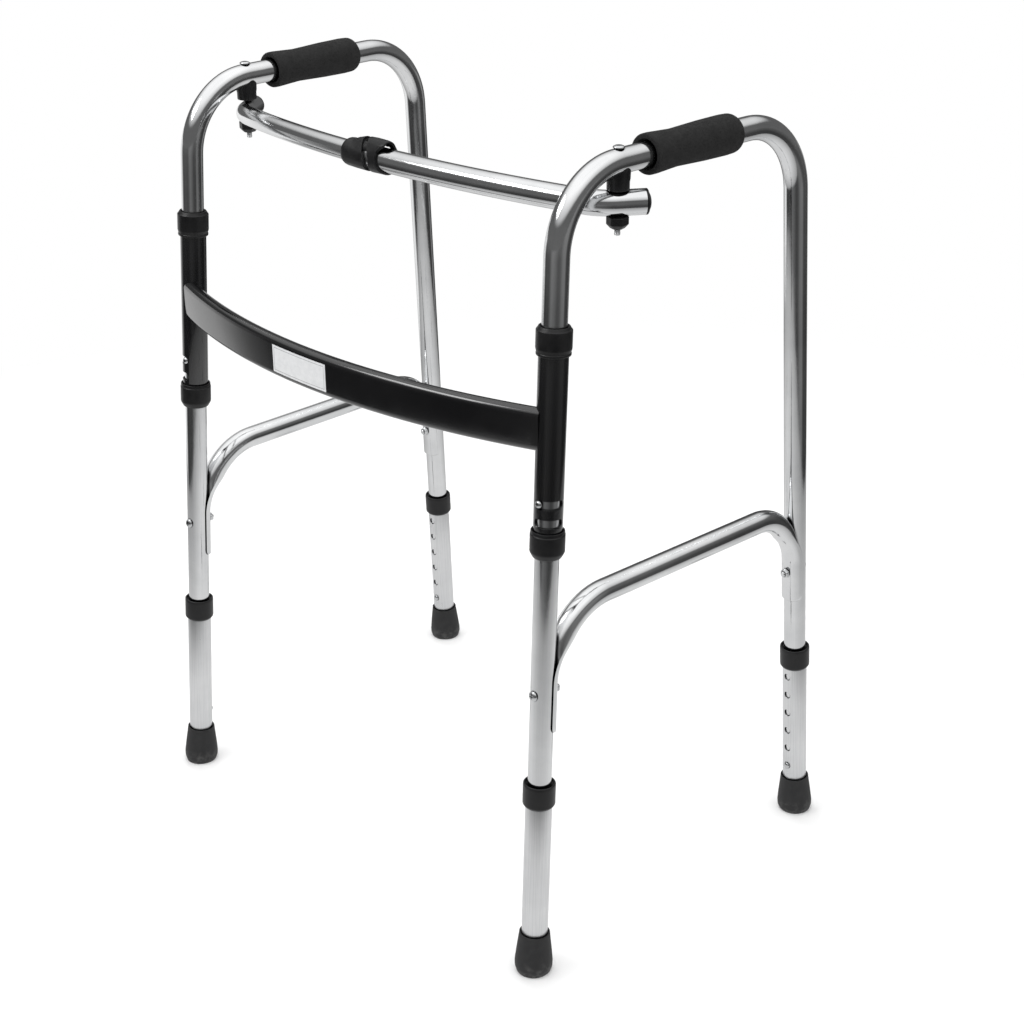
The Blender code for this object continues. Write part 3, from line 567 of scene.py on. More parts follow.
def foil():
    """The blank plate: silvery, mottled and faintly crinkled, with a thin border line."""
    material, tree, shader = new_material("foil")
    place = object_place(tree)
    mottle = noise(tree, place, 160, 5, 0.65)
    uv = node(tree, "ShaderNodeUVMap", uv_map="face").outputs[0]
    parts = node(tree, "ShaderNodeSeparateXYZ", {0: uv}).outputs
    inward = math_node(tree, "MINIMUM", parts[0], parts[1])
    line = math_node(tree, "ABSOLUTE", math_node(tree, "SUBTRACT", inward, 2.6 * MM))
    border = spread(tree, line, 0.15 * MM, 0.45 * MM, 1.0, 0.0)
    body = mixed(tree, mottle, (0.66, 0.67, 0.68), (0.92, 0.925, 0.93))
    colour = mixed(tree, math_node(tree, "MULTIPLY", border, 0.7), body, (0.2, 0.2, 0.21))
    crinkle = bump(tree, noise(tree, place, 260, 4, 0.6), 0.12 * MM, 0.8)
    normal = bump(tree, border, -0.05 * MM, 1.0, below=crinkle)
    roughness = spread(tree, mottle, 0.3, 0.7, 0.28, 0.5)
    set_inputs(tree, shader, Base_Color=colour, Metallic=0.2, Roughness=roughness, Normal=normal)
    return material


# Name: bright and dull colour, roughness from and to, how streaky, how wavy
METALS = {
    "bright_aluminium": ((0.93, 0.935, 0.94), (0.72, 0.73, 0.74), (0.05, 0.16), 0.25, 0.10 * MM),
    "satin_aluminium": ((0.90, 0.905, 0.91), (0.60, 0.61, 0.62), (0.26, 0.40), 0.9, 0.06 * MM),
    "plated_steel": ((0.85, 0.86, 0.87), (0.55, 0.56, 0.57), (0.12, 0.30), 0.3, 0.04 * MM),
    "spring_steel": ((0.50, 0.50, 0.52), (0.28, 0.28, 0.30), (0.25, 0.45), 0.4, 0.04 * MM),
}

materials = {name: metal(name, *look) for name, look in METALS.items()}
materials["gloss_black"] = gloss_black()
materials["black_plastic"] = black_plastic()
materials["foam"] = foam()
materials["rubber"] = rubber()
materials["foil"] = foil()


# Side frames

def make_handle_frame(label):
    matrix = side_frames[label]
    bolt_hole = BOLT_R + 2 * FIT
    cutters = []
    for end_label, end in ENDS.items():
        leg = legs[end_label, label]
        cutters.append(rod(bolt_hole, -2 * TUBE_R, 2 * TUBE_R, leg @ across(end, BRACE_BOLT_H)))
        cutters.append(rod(HOLE_R, 0, 2 * TUBE_R, leg @ across(end, BUTTON_H)))
    cutters.append(rod(bolt_hole, 0, 2 * TUBE_R, legs["front", label] @ across(-1, SCREW_H)))
    pivot = Matrix.Translation((*pivots[label].xy, HANDLE_H))
    cutters.append(rod(bolt_hole, -2 * TUBE_R, 2 * TUBE_R, pivot))
    shape = tube(handle_path(), TUBE_R)
    stand_in(f"handle_frame_{label}", shape, matrix, "bright_aluminium", f"side_{label}", cutters)


def make_grip(label):
    """Foam sleeve: a cupped front end, a slight waist and a rounded rear end."""
    name = f"hand_grip_{label}"
    front, rear = span(name, side_frames[label], 1)
    rearward = Matrix.Rotation(-math.pi / 2, 4, "X")
    at = side_frames[label] @ Matrix.Translation((0, front, HANDLE_H)) @ rearward
    length = (rear - front) / MM
    bore = (TUBE_R + FIT) / MM
    full = bore + 7.2
    outline = profile(
        (bore, 5, 0.5),
        (bore + 1.2, 2.6, 1.2),
        (bore + 2.6, 0, 1.2),
        (full + 0.2, 0, 2.6),
        (full + 0.3, 8, 12),
        (full - 1.4, 0.3 * length, 50),
        (full + 0.1, 0.62 * length, 80),
        (full + 0.5, 0.86 * length, 20),
        (full - 0.3, length, 9),
        (bore + 0.4, length, 1),
        (bore, length - 2, 0),
        closed=True,
        steps=9,
    )
    stand_in(name, turned(outline, wrap=True), at, "foam", f"side_{label}", sharp=60)


def pressed_ring(centre, to_leg, from_leg, flat, trim):
    """One ring of the brace: round where flat is 0, and wrapped round the leg where it is 1."""
    leg_r = TUBE_R + FIT
    row = []
    for n in range(ROUND):
        angle = 2 * math.pi * n / ROUND
        x, reach = TUBE_R * math.cos(angle), TUBE_R * math.sin(angle)
        wrap_r = leg_r if reach > 0 else BRACE_WRAP_R
        turn = (BRACE_WRAP - trim) * math.asin(math.cos(angle)) / (math.pi / 2)
        edge = max(abs(math.cos(angle)) - 0.9, 0) * 10
        wrap_r += ((leg_r + BRACE_WRAP_R) / 2 - wrap_r) * edge**2
        x += (wrap_r * math.sin(turn) - x) * flat
        reach += (from_leg - wrap_r * math.cos(turn) - reach) * flat
        if abs(x) < leg_r:
            reach = min(reach, from_leg - math.sqrt(leg_r**2 - x**2))
        row.append(centre + Vector((x, 0, 0)) + to_leg * reach)
    return row


def brace_rows():
    """Rings along the brace, in side coordinates. Its ends are pressed flat and have rounded corners."""
    corner_r = 7 * MM

    def corner(end, height):
        y = HALF_STANCE - height * math.tan(LEG_LEAN) - BRACE_OFFSET / math.cos(LEG_LEAN)
        return Vector((0, -end * y, height))

    knees = [corner(end, height) for end, height in zip((1, -1), BRACE_KNEES)]
    path = []
    for end, low, knee, other, radius in zip((1, -1), BRACE_ENDS, knees, reversed(knees), BRACE_BEND_R):
        foot = corner(end, low)
        arc = rounded([(foot, 0), (knee, radius), (other, 0)], steps=30)[1:-1]
        length = (arc[0] - foot).length
        places = [0, 0.4, 1, 2, 3.2, 4.8, 7, *range(10, round(length / MM), 3)]
        stretch = [foot.lerp(arc[0], place * MM / length) for place in places] + arc
        path += stretch if end == 1 else stretch[::-1]
    rows = []
    for n, point in enumerate(path):
        ahead = path[min(n + 1, len(path) - 1)] - path[max(n - 1, 0)]
        to_leg = Vector((1, 0, 0)).cross(ahead).normalized()
        flat = min(max((BRACE_ROUND_FROM - point.z) / BRACE_PRESS_LENGTH, 0), 1)
        flat = flat * flat * (3 - 2 * flat)
        from_leg = (HALF_STANCE - point.z * math.tan(LEG_LEAN) - abs(point.y)) * math.cos(LEG_LEAN)
        left = max(corner_r - (point.z - BRACE_ENDS[0 if point.y < 0 else 1]), 0)
        trim = (corner_r - math.sqrt(max(corner_r**2 - left**2, 0))) / BRACE_WRAP_R
        rows.append(pressed_ring(point, to_leg, from_leg, flat, trim))
    return rows


def recess(at, size):
    """Cutters for a cross recess in a screw head whose top is at the frame's z = 0."""
    low, high = -0.55 * size, 0.3 * size
    arms = ((size, 0.19 * size), (0.19 * size, size))
    return [slab((-x, -y, low), (x, y, high), at, taper=0.55) for x, y in arms]


def screw(name, body, at, head_r, head_h, under, tip, recessed=True, thread=8):
    """A pan-head screw along z, with a domed head, a cross recess and a threaded tip."""
    top = (under + head_h) / MM
    head_r, under, tip, shank = (value / MM for value in (head_r, under, tip, BOLT_R))
    outline = profile(
        (0, top, 0),
        (0.62 * head_r, top - 0.06 * head_r, 2.5),
        (head_r, top - 0.55 * (top - under), 1.2),
        (head_r, under + 0.1, 0.3),
        (shank, under, 0.2),
    )
    low = tip + 0.8
    steps = thread * 6
    outline += [Vector((shank * MM, 0, (low + thread * (1 - n / steps)) * MM)) for n in range(steps + 1)]
    outline += profile((shank - 0.7, tip, 0), (0, tip, 0))

    def groove(angle, point):
        depth = 0.09 if low <= point.z / MM < low + thread - 0.2 else 0
        return 1 - depth * (0.5 + 0.5 * math.cos(angle + 2 * math.pi * point.z / MM))

    cutters = recess(at @ Matrix.Translation((0, 0, top * MM)), 0.62 * head_r * MM) if recessed else ()
    stand_in(name, turned(outline, SMALL_ROUND, scale=groove), at, "plated_steel", body, cutters)


def hexagon(angle, point):
    """Turns a round outline hexagonal, with its corners cut back."""
    off_flat = (angle + math.pi / 6) % (math.pi / 3) - math.pi / 6
    return min(1 / math.cos(off_flat), 1.11)


def make_brace(label):
    body = f"side_{label}"
    matrix = side_frames[label]
    cutters = []
    for end_label, end in ENDS.items():
        at = legs[end_label, label] @ across(end, BRACE_BOLT_H)
        cutters.append(rod(BOLT_R + FIT, 0, 3 * TUBE_R, at))
    stand_in(f"side_brace_{label}", skin(brace_rows()), matrix, "bright_aluminium", body, cutters)
    for end_label, end in ENDS.items():
        leg = legs[end_label, label]
        place = f"{end_label}_{label}"
        name = f"brace_bolt_{place}"
        at = leg @ across(-end, BRACE_BOLT_H)
        low, high = span(name, at)
        under = TUBE_R + FIT
        screw(name, body, at, outer_radius(name, at), high - under, under, low, thread=9)
        name = f"brace_nut_{place}"
        at = leg @ across(end, BRACE_BOLT_H)
        low, high = (value / MM for value in span(name, at))
        flat_r = outer_radius(name, at) / MM * math.cos(math.pi / 6)
        bore = BOLT_R / MM + 0.1
        outline = profile(
            (flat_r, low, 0.4),
            (flat_r, high, 0.9),
            (bore + 0.5, high, 0),
            (bore, high - 0.5, 0),
            (bore, low, 0),
            closed=True,
        )
        nut = turned(outline, 48, wrap=True, scale=hexagon_outside(bore))
        stand_in(name, nut, at, "plated_steel", body, sharp=20)


def hexagon_outside(bore):
    """A hexagon outside, and still a round bore."""
    return lambda angle, point: 1 if point.x < (bore + 0.6) * MM else hexagon(angle, point)


def make_stop_screw(label):
    name = f"fold_stop_screw_{label}"
    at = legs["front", label] @ across(-1, SCREW_H)
    low, high = span(name, at)
    under = TUBE_R + FIT
    screw(name, f"side_{label}", at, outer_radius(name, at), high - under, under, low, thread=2)


def make_pivot_bolt(label, axis):
    name = f"pivot_bolt_{label}"
    low, high = span(name, axis)
    under = HANDLE_H + TUBE_R + FIT
    head_r = outer_radius(name, axis)
    screw(name, f"side_{label}", axis, head_r, high - under, under, low, recessed=False, thread=14)


def make_spacer(label, axis):
    """A waisted spacer whose top is a saddle for the handle's tube."""
    name = f"pivot_spacer_{label}"
    radius = outer_radius(name, axis)
    low = span(name, axis)[0]
    bore = BOLT_R + FIT
    lateral = side_frames[label].col[0].xy.normalized()
    waist = ((-1.8, 0), (-1.1, 0.3), (-0.8, 1.2), (-0.8, 8), (-0.2, 11))
    rows = [ring(radius + wider * MM, low + height * MM) for wider, height in waist]
    saddle = [radius, radius, radius - 0.8 * MM, 0.8 * radius, 0.6 * radius, bore]
    for reach, drop in zip(saddle, (1.2 * MM, 0, 0, 0, 0, 0)):
        row = ring(reach, 0)
        for point in row:
            point.z = HANDLE_H - drop - math.sqrt((TUBE_R + FIT) ** 2 - point.xy.dot(lateral) ** 2)
        rows.append(row)
    rows.append(ring(bore, low))
    stand_in(name, skin(rows, wrap=True), axis, "black_plastic", f"side_{label}")


def make_knob(label, axis):
    name = f"pivot_knob_{label}"
    low, high = (value / MM for value in span(name, axis))
    flat_r = outer_radius(name, axis) / MM * math.cos(math.pi / 6)
    bore = (BOLT_R + FIT) / MM
    outline = profile(
        (bore, high, 0),
        (flat_r, high, 0.8),
        (flat_r, high - 7.6, 1.6),
        (0.62 * flat_r, low, 1.5),
        (bore, low, 0),
        closed=True,
    )
    knob = turned(outline, 96, wrap=True, scale=hexagon_outside(bore))
    at = axis @ Matrix.Rotation(KNOB_TURN, 4, "Z")
    stand_in(name, knob, at, "black_plastic", f"side_{label}", sharp=25)


def make_pivot(label):
    """The upright bolt under the handle, its spacer and its hexagonal knob."""
    axis = Matrix.Translation((*pivots[label].xy, 0))
    for make in (make_pivot_bolt, make_spacer, make_knob):
        make(label, axis)


# Legs

def make_leg(end_label, label):
    end = ENDS[end_label]
    leg = legs[end_label, label]
    place = f"{end_label}_{label}"
    body = f"leg_{place}"

    low, high = (value / MM for value in EXTENSION)
    radius, bore = EXTENSION_R / MM, (TUBE_R + FIT) / MM
    heights = [BUTTON_H + n * HOLE_PITCH for n in range(HOLE_COUNT)]
    holes = [rod(HOLE_R, 0, 2 * EXTENSION_R, leg @ across(end, height)) for height in heights]
    name = f"leg_extension_{place}"
    stand_in(name, pipe(radius, bore, low, high), leg, "satin_aluminium", body, holes)

    name = f"leg_collar_{place}"
    stand_in(name, turned(collar_outline(name, leg, radius, high), wrap=True), leg, "black_plastic", body)

    name = f"snap_button_{place}"
    at = leg @ across(end, BUTTON_H)
    low, high = (value / MM for value in span(name, at))
    reach = outer_radius(name, at) / MM
    dome = ((0, high, 0), (0.5 * reach, high, 2), (reach, high - 1.1, 1))
    outline = profile(*dome, (reach, low, 0), (0, low, 0))
    stand_in(name, turned(outline, SMALL_ROUND), at, "plated_steel", f"button_{place}")
    make_foot(place, leg, body)


def collar_outline(name, at, tube_r, step):
    """A leg collar: cupped lip, straight side, and a rounded mouth for the wider tube, up to its step."""
    mouth, lip = (value / MM for value in span(name, at))
    outer = outer_radius(name, at) / MM
    bore = (TUBE_R + FIT) / MM
    return profile(
        (bore, lip - 3.4, 0.8),
        (bore + 2.2, lip - 2.6, 0.8),
        (outer - 2.2, lip, 0.5),
        (outer - 0.2, lip, 0.9),
        (outer, lip - 3, 2),
        (outer, mouth + 2.6, 2.5),
        (outer - 1.8, mouth, 1.0),
        (tube_r + 0.1, mouth, 0.5),
        (tube_r + 0.1, step + 0.1, 0),
        (bore, step + 0.1, 0),
        closed=True,
    )


def make_foot(place, leg, body):
    """A rubber ferrule with a rolled rim and a ringed, level sole."""
    name = f"rubber_foot_{place}"
    top = span(name, leg)[1] / MM
    widest = outer_radius(name, leg) / MM
    tube_r = EXTENSION_R / MM + 0.1
    seat = EXTENSION[0] / MM - 0.1
    outline = profile(
        (tube_r, top - 2.5, 0.6),
        (tube_r + 0.9, top - 0.4, 0.4),
        (widest - 4.1, top, 0.9),
        (widest - 3.9, top - 3, 2),
        (widest - 1.6, 0.55 * top, 60),
        (widest, 0.24 * top, 20),
        (widest - 0.2, 0.12 * top, 8),
        (widest - 1.8, 0.6, 2.5),
        (widest - 2.6, -4, 0),
        (15.4, -4, 0), (15.0, 1.5, 0), (13.6, 1.5, 0), (13.2, -4, 0),
        (9.4, -4, 0), (9.0, 1.5, 0), (7.6, 1.5, 0), (7.2, -4, 0),
        (0.4, -4, 0), (0.3, seat, 0),
        (tube_r, seat, 0),
        closed=True,
        steps=7,
    )
    obj = object_of(f"{name}.fine", turned(outline, wrap=True), leg)
    for vertex in obj.data.vertices:
        vertex.co.z = max(vertex.co.z, 0)
    dress(obj, "rubber", body, name)


# Lower bar and fold sleeves

def slot_cutters(leg, side, height):
    """A slot round the sleeve, with rounded ends."""
    half = SLOT_TALL / 2
    trim = half / SLEEVE_R
    start, end = sorted(-math.pi / 2 + side * math.radians(angle) for angle in SLOT_ANGLES)
    start, end = start + trim, end - trim
    steps = 16
    rows = []
    for n in range(steps + 1):
        angle = start + (end - start) * n / steps
        out = Vector((math.cos(angle), math.sin(angle), 0))
        rows.append([out * reach + Vector((0, 0, height + z))
                     for reach, z in ((0.6 * SLEEVE_R, -half), (1.3 * SLEEVE_R, -half),
                                      (1.3 * SLEEVE_R, half), (0.6 * SLEEVE_R, half))])
    made = [cutter(skin(rows), leg)]
    for angle in (start, end):
        turn = Matrix.Rotation(angle, 4, "Z") @ Matrix.Rotation(math.pi / 2, 4, "Y")
        place = leg @ Matrix.Translation((0, 0, height)) @ turn
        made.append(rod(half, 0.5 * SLEEVE_R, 1.4 * SLEEVE_R, place))
    return made


def make_sleeve(label, side):
    leg = legs["front", label]
    low, high = (value / MM for value in SLEEVE)
    radius, bore = SLEEVE_R / MM, (TUBE_R + FIT) / MM + 0.2
    cutters = slot_cutters(leg, side, SCREW_H) + slot_cutters(leg, side, SCREW_H - SLOT_PITCH)
    name = f"fold_sleeve_{label}"
    stand_in(name, pipe(radius, bore, low, high), leg, "gloss_black", "lower_bar", cutters)

    name = f"sleeve_collar_upper_{label}"
    mouth, lip = (value / MM for value in span(name, leg))
    outer = outer_radius(name, leg) / MM
    outline = profile(
        (bore, lip - 1.2, 0.5),
        (bore + 1.2, lip - 0.2, 0.4),
        (outer - 2.6, lip, 0.6),
        (outer - 1.2, lip - 2.4, 0.7),
        (outer, lip - 3.8, 0.9),
        (outer, mouth + 7, 3),
        (outer - 1.1, mouth + 3.2, 0.5),
        (outer - 0.5, mouth + 2.4, 0.5),
        (outer - 0.7, mouth + 0.2, 0.8),
        (radius + 0.1, mouth, 0.2),
        (radius + 0.1, high + 0.1, 0),
        (bore, high + 0.1, 0),
        closed=True,
    )
    stand_in(name, turned(outline, wrap=True), leg, "black_plastic", "lower_bar")

    name = f"sleeve_collar_lower_{label}"
    lip, mouth = (value / MM for value in span(name, leg))
    outline = profile(
        (radius + 0.1, mouth - 1.5, 0.3),
        (radius + 1.0, mouth, 0.4),
        (outer - 0.7, mouth, 0.6),
        (outer - 0.4, mouth - 2.6, 0.4),
        (outer - 1.2, mouth - 3.4, 0.3),
        (outer, mouth - 4.4, 0.5),
        (outer, lip + 6, 5),
        (outer - 3.2, lip, 1.5),
        (bore, lip, 0.5),
        (bore, low - 0.1, 0),
        (radius + 0.1, low - 0.1, 0),
        closed=True,
    )
    stand_in(name, turned(outline, wrap=True), leg, "black_plastic", "lower_bar")


def bar_arc():
    """Radius, centre y, half angle and middle height of the lower bar's arc."""
    height = sum(BAR_SPAN) / 2
    leg = legs["front", "left"]
    end = leg.translation + leg.col[2].xyz * height / leg.col[2].z - Vector((0, BAR_FORWARD, 0))
    radius = (end.x**2 + BAR_BULGE**2) / (2 * BAR_BULGE)
    return radius, end.y - BAR_BULGE + radius, math.asin((end.x - BAR_END_INSET) / radius), height


def bar_place(angle, reach, height, centre_y):
    return Vector((reach * math.sin(angle), centre_y - reach * math.cos(angle), height))


def bar_section():
    """Half thickness outward and height, round the bar's flat-oval section."""
    tall = BAR_SPAN[1] - BAR_SPAN[0]
    quarters = ((1, 1), (-1, 1), (-1, -1), (1, -1))
    corners = [Vector((out * BAR_THICK / 2, up * tall / 2, 0)) for out, up in quarters]
    outline = rounded([(corner, BAR_CORNER_R) for corner in corners], steps=10, closed=True)
    return [(point.x, point.y) for point in outline]


def make_lower_bar():
    radius, centre_y, half_angle, height = bar_arc()
    steps = 60
    rows = []
    for n in range(steps + 1):
        angle = half_angle * (2 * n / steps - 1)
        rows.append([bar_place(angle, radius + out, height + up, centre_y) for out, up in bar_section()])
    cutters = [rod(SLEEVE_R + FIT, 0.4, 0.8, legs["front", label], ROUND) for label in SIDES]
    stand_in("lower_crossbar", skin(rows), Matrix(), "gloss_black", "lower_bar", cutters)


def make_plate():
    """A thin blank foil that follows the bar's bowed front."""
    radius, centre_y, _, height = bar_arc()
    low_x, high_x = span("blank_plate", axis=0)
    bottom, top = (value - height for value in span("blank_plate"))
    columns, lines = 30, 12
    shape = bmesh.new()
    layer = shape.loops.layers.uv.new("face")
    sheets = []
    for lift in (0.05 * MM, 0.4 * MM):
        sheet = []
        for n in range(columns + 1):
            x = low_x + (high_x - low_x) * n / columns
            ups = [bottom + (top - bottom) * m / lines for m in range(lines + 1)]
            angle = math.asin(x / radius)
            reach = radius + BAR_THICK / 2 + lift
            sheet.append([shape.verts.new(bar_place(angle, reach, height + up, centre_y)) for up in ups])
        sheets.append(sheet)
    under, over = sheets
    for n in range(columns):
        for m in range(lines):
            for sheet in sheets:
                corners = ((n, m), (n + 1, m), (n + 1, m + 1), (n, m + 1))
                face = shape.faces.new([sheet[i][j] for i, j in corners])
                for loop, (i, j) in zip(face.loops, corners):
                    across_x = min(i, columns - i) * (high_x - low_x) / columns
                    across_z = min(j, lines - j) * (top - bottom) / lines
                    loop[layer].uv = (across_x, across_z)
    rim = [(n, 0) for n in range(columns)] + [(columns, m) for m in range(lines)]
    rim += [(n, lines) for n in range(columns, 0, -1)] + [(0, m) for m in range(lines, 0, -1)]
    for (a, b), (c, d) in zip(rim, rim[1:] + rim[:1]):
        shape.faces.new((under[a][b], under[c][d], over[c][d], over[a][b]))
    bmesh.ops.recalc_face_normals(shape, faces=shape.faces)
    stand_in("blank_plate", shape, Matrix(), "foil", "lower_bar", sharp=50)


# Upper crossbar

def make_crossbar_half(label, side):
    name = f"upper_crossbar_{label}"
    body = f"crossbar_{label}"
    low, high = span(name, axis=0)
    start = low if side > 0 else -high
    radius = TUBE_R if side > 0 else SMALL_TUBE_R
    path = crossbar_path(side, start, CROSSBAR_TAIL)
    hole = rod(BOLT_R + FIT, -2 * TUBE_R, 2 * TUBE_R, Matrix.Translation(pivots[label]))
    stand_in(name, tube(path, radius), Matrix(), "bright_aluminium", body, [hole])
    ahead = (path[-1] - path[-2]).to_track_quat("Z", "Y").to_matrix().to_4x4()
    full, plug = radius / MM, (radius - TUBE_WALL - FIT) / MM
    at = Matrix.Translation(path[-1]) @ ahead
    name = f"crossbar_end_cap_{label}"
    low, high = (value / MM for value in span(name, at))
    outline = profile(
        (0, high, 0),
        (0.5 * full, high - 0.5, 9),
        (0.88 * full, 2.2, 0.6),
        (full - 0.8, 2.3, 0.4),
        (full, 1.9, 0.6),
        (full, 0.2, 0.2),
        (plug, 0.2, 0.2),
        (plug - 0.3, low, 0.5),
        (0, low, 0),
    )
    stand_in(name, turned(outline), at, "black_plastic", body)


# The snap clip. Its x runs along the crossbar, and its angles go up from straight ahead.

CLIP_R = 15 * MM
HUMP_R = 10 * MM
CLIP_WALL = 2.6 * MM
CLIP_SIDES = 72
HOOD_SLOT_AIM = (-0.70, 0.66, -0.27)     # the two slots in the hood run this way
HUMP_RISE = ((-55, 0), (-50, 1), (-46, 4), (-38, 7.5), (-26, 10.6), (-10, 11.4), (4, 11.2), (10, 10.6))


def along_table(table, x):
    """Straight-line reading of a table of (x, value) pairs."""
    for (x0, value0), (x1, value1) in zip(table, table[1:]):
        if x <= x1:
            return value0 + (value1 - value0) * (x - x0) / (x1 - x0)
    return table[-1][1]


def clip_section(x, shrink=0.0):
    """The clip's outline at x: the hull of its round body and of the ridge on its top."""
    rise = along_table(HUMP_RISE, x / MM) * MM
    body_r = CLIP_R + 0.6 * MM * math.sin(math.pi * min(max((x / MM + 55) / 60, 0), 1)) - shrink
    ridge_r = HUMP_R - shrink
    row = []
    for n in range(CLIP_SIDES):
        angle = 2 * math.pi * n / CLIP_SIDES
        ahead, up = math.cos(angle), math.sin(angle)
        on_ridge = rise * up + ridge_r > body_r
        reach, lift = (ridge_r, rise) if on_ridge else (body_r, 0)
        row.append(Vector((x, -ahead * reach, up * reach + lift)))
    return row


def clip_bore(x, radius):
    """A round ring inside the clip at x, in step with its outline."""
    angles = [2 * math.pi * n / CLIP_SIDES for n in range(CLIP_SIDES)]
    return [Vector((x, -math.cos(angle) * radius, math.sin(angle) * radius)) for angle in angles]


def clip_frame():
    _, middle_y = crossbar_middle()
    low, high = span("crossbar_clip", axis=0)
    middle_x = (low + high) / 2
    heading = math.asin(middle_x / CROSSBAR_R1)
    y = middle_y + CROSSBAR_R1 * (1 - math.cos(heading))
    at = Matrix.Translation((middle_x, y, CROSSBAR_H)) @ Matrix.Rotation(heading, 4, "Z")
    return at @ Matrix.Translation((-middle_x, 0, 0)), low, high


def band_cutter(at, centres, half, inner, outer, angles, steps=28):
    """A cutter that runs round the clip. Its middle x and inner radius are tables against the angle."""
    rows = []
    for n in range(steps + 1):
        angle = angles[0] + (angles[1] - angles[0]) * n / steps
        x = along_table(centres, angle) * MM
        narrow = min(1, 0.25 + 1.6 * math.sqrt(min(n, steps - n) / steps))
        reach = along_table(inner, angle) * MM
        out = Vector((0, -math.cos(math.radians(angle)), math.sin(math.radians(angle))))
        places = ((-half, reach), (half, reach), (half, outer), (-half, outer))
        rows.append([Vector((x + shift * narrow, 0, 0)) + out * size for shift, size in places])
    return cutter(skin(rows), at)


def make_clip():
    """A collar on the small tube, a slanted groove, a ring, and a hood and lower lip on the large tube."""
    at, low, high = clip_frame()
    rows = []
    for inset, shrink in ((0, 2.6), (0.5, 1.5), (1.4, 0.8), (3, 0.25), (5.5, 0)):
        rows.append(clip_section(low + inset * MM, shrink * MM))
    groove_from = -23.5 * MM
    count = 26
    rows += [clip_section(low + 7 * MM + (high - low - 9 * MM) * n / count) for n in range(count + 1)]
    rows += [clip_section(high - 0.6 * MM, 0.2 * MM), clip_section(high, 0.8 * MM)]
    inner = [clip_section(high, CLIP_WALL - 0.7 * MM), clip_section(high - 0.8 * MM, CLIP_WALL)]
    inner += [clip_section(high - (high - groove_from) * n / 8, CLIP_WALL) for n in range(1, 9)]
    bores = ((groove_from, 0.9), (low + 2 * MM, 0.9), (low, 1.6))
    inner += [clip_bore(x, SMALL_TUBE_R + wider * MM) for x, wider in bores]
    shape = skin(rows + inner, wrap=True)

    beyond = 34 * MM
    centres = ((-115, -17), (-90, -17), (0, -12), (90, -23), (125, -25))
    depths = ((-115, 13.3), (-60, 11), (28, 11), (40, 13.6), (75, 17.5), (110, 18.6), (125, 20))
    cutters = [band_cutter(at, centres, 4.2 * MM, depths, beyond, (-112, 122))]
    edge = ((-70, 5.5), (0, 2.4), (45, 1.5), (60, 1.5), (80, 5))
    wall = ((-180, 6), (180, 6))
    mouth_half = 12 * MM
    shifted = tuple((angle, x + mouth_half / MM) for angle, x in edge)
    cutters.append(band_cutter(at, shifted, mouth_half, wall, beyond, (-74, 72)))
    rear = ((0, 2), (360, 2))
    cutters.append(band_cutter(at, rear, 22 * MM, wall, beyond, (152, 236)))
    for x in (-10.5, -5.5):
        spot = Matrix.Translation((x * MM, 11.5 * MM, 9.6 * MM))
        aim = Vector(HOOD_SLOT_AIM).to_track_quat("Z", "X").to_matrix().to_4x4()
        cutters.append(slab((-0.9 * MM, -2.8 * MM, -7 * MM), (0.9 * MM, 2.8 * MM, 12 * MM), at @ spot @ aim))
    stand_in("crossbar_clip", shape, at, "black_plastic", "crossbar_right", cutters, sharp=28)


# Studio

CAMERA_AT = Vector((1.4289, -1.3728, 1.3059))
CAMERA_TARGET = Vector((-0.0032, 0.0549, 0.3595))
CAMERA_LENS = 64.2
CAMERA_ROLL = math.radians(-0.38)
FLOOR_R = 9
STUDIO_R = 1.45
STUDIO_H = 0.8
# Share of a turn from +X, and how light the cards are there
CARD_GREYS = (
    (0.00, 0.14), (0.05, 0.16), (0.08, 0.06), (0.11, 0.04), (0.14, 0.05), (0.20, 0.03), (0.23, 0.20),
    (0.27, 0.20), (0.29, 0.03), (0.36, 0.03), (0.40, 0.25), (0.46, 0.80), (0.55, 0.90), (0.58, 0.30),
    (0.61, 0.03), (0.66, 0.05), (0.74, 0.04), (0.80, 0.14), (0.86, 0.10), (0.91, 0.05), (0.95, 0.06),
    (1.00, 0.14),
)


def make_camera():
    data = bpy.data.cameras.new("camera")
    data.lens = CAMERA_LENS
    data.sensor_width = 36
    camera = bpy.data.objects.new("camera", data)
    aim = (CAMERA_TARGET - CAMERA_AT).to_track_quat("-Z", "Y").to_matrix().to_4x4()
    camera.matrix_world = Matrix.Translation(CAMERA_AT) @ aim @ Matrix.Rotation(CAMERA_ROLL, 4, "Z")
    bpy.context.scene.collection.objects.link(camera)
    bpy.context.scene.camera = camera


def softbox(name, at, target, size, power, mirrored=False):
    data = bpy.data.lights.new(name, "AREA")
    data.shape = "RECTANGLE"
    data.size, data.size_y = size
    data.energy = power
    lamp = bpy.data.objects.new(name, data)
    lamp.visible_glossy = mirrored
    turn = (Vector(target) - Vector(at)).to_track_quat("-Z", "Y").to_matrix().to_4x4()
    lamp.matrix_world = Matrix.Translation(at) @ turn
    bpy.context.scene.collection.objects.link(lamp)


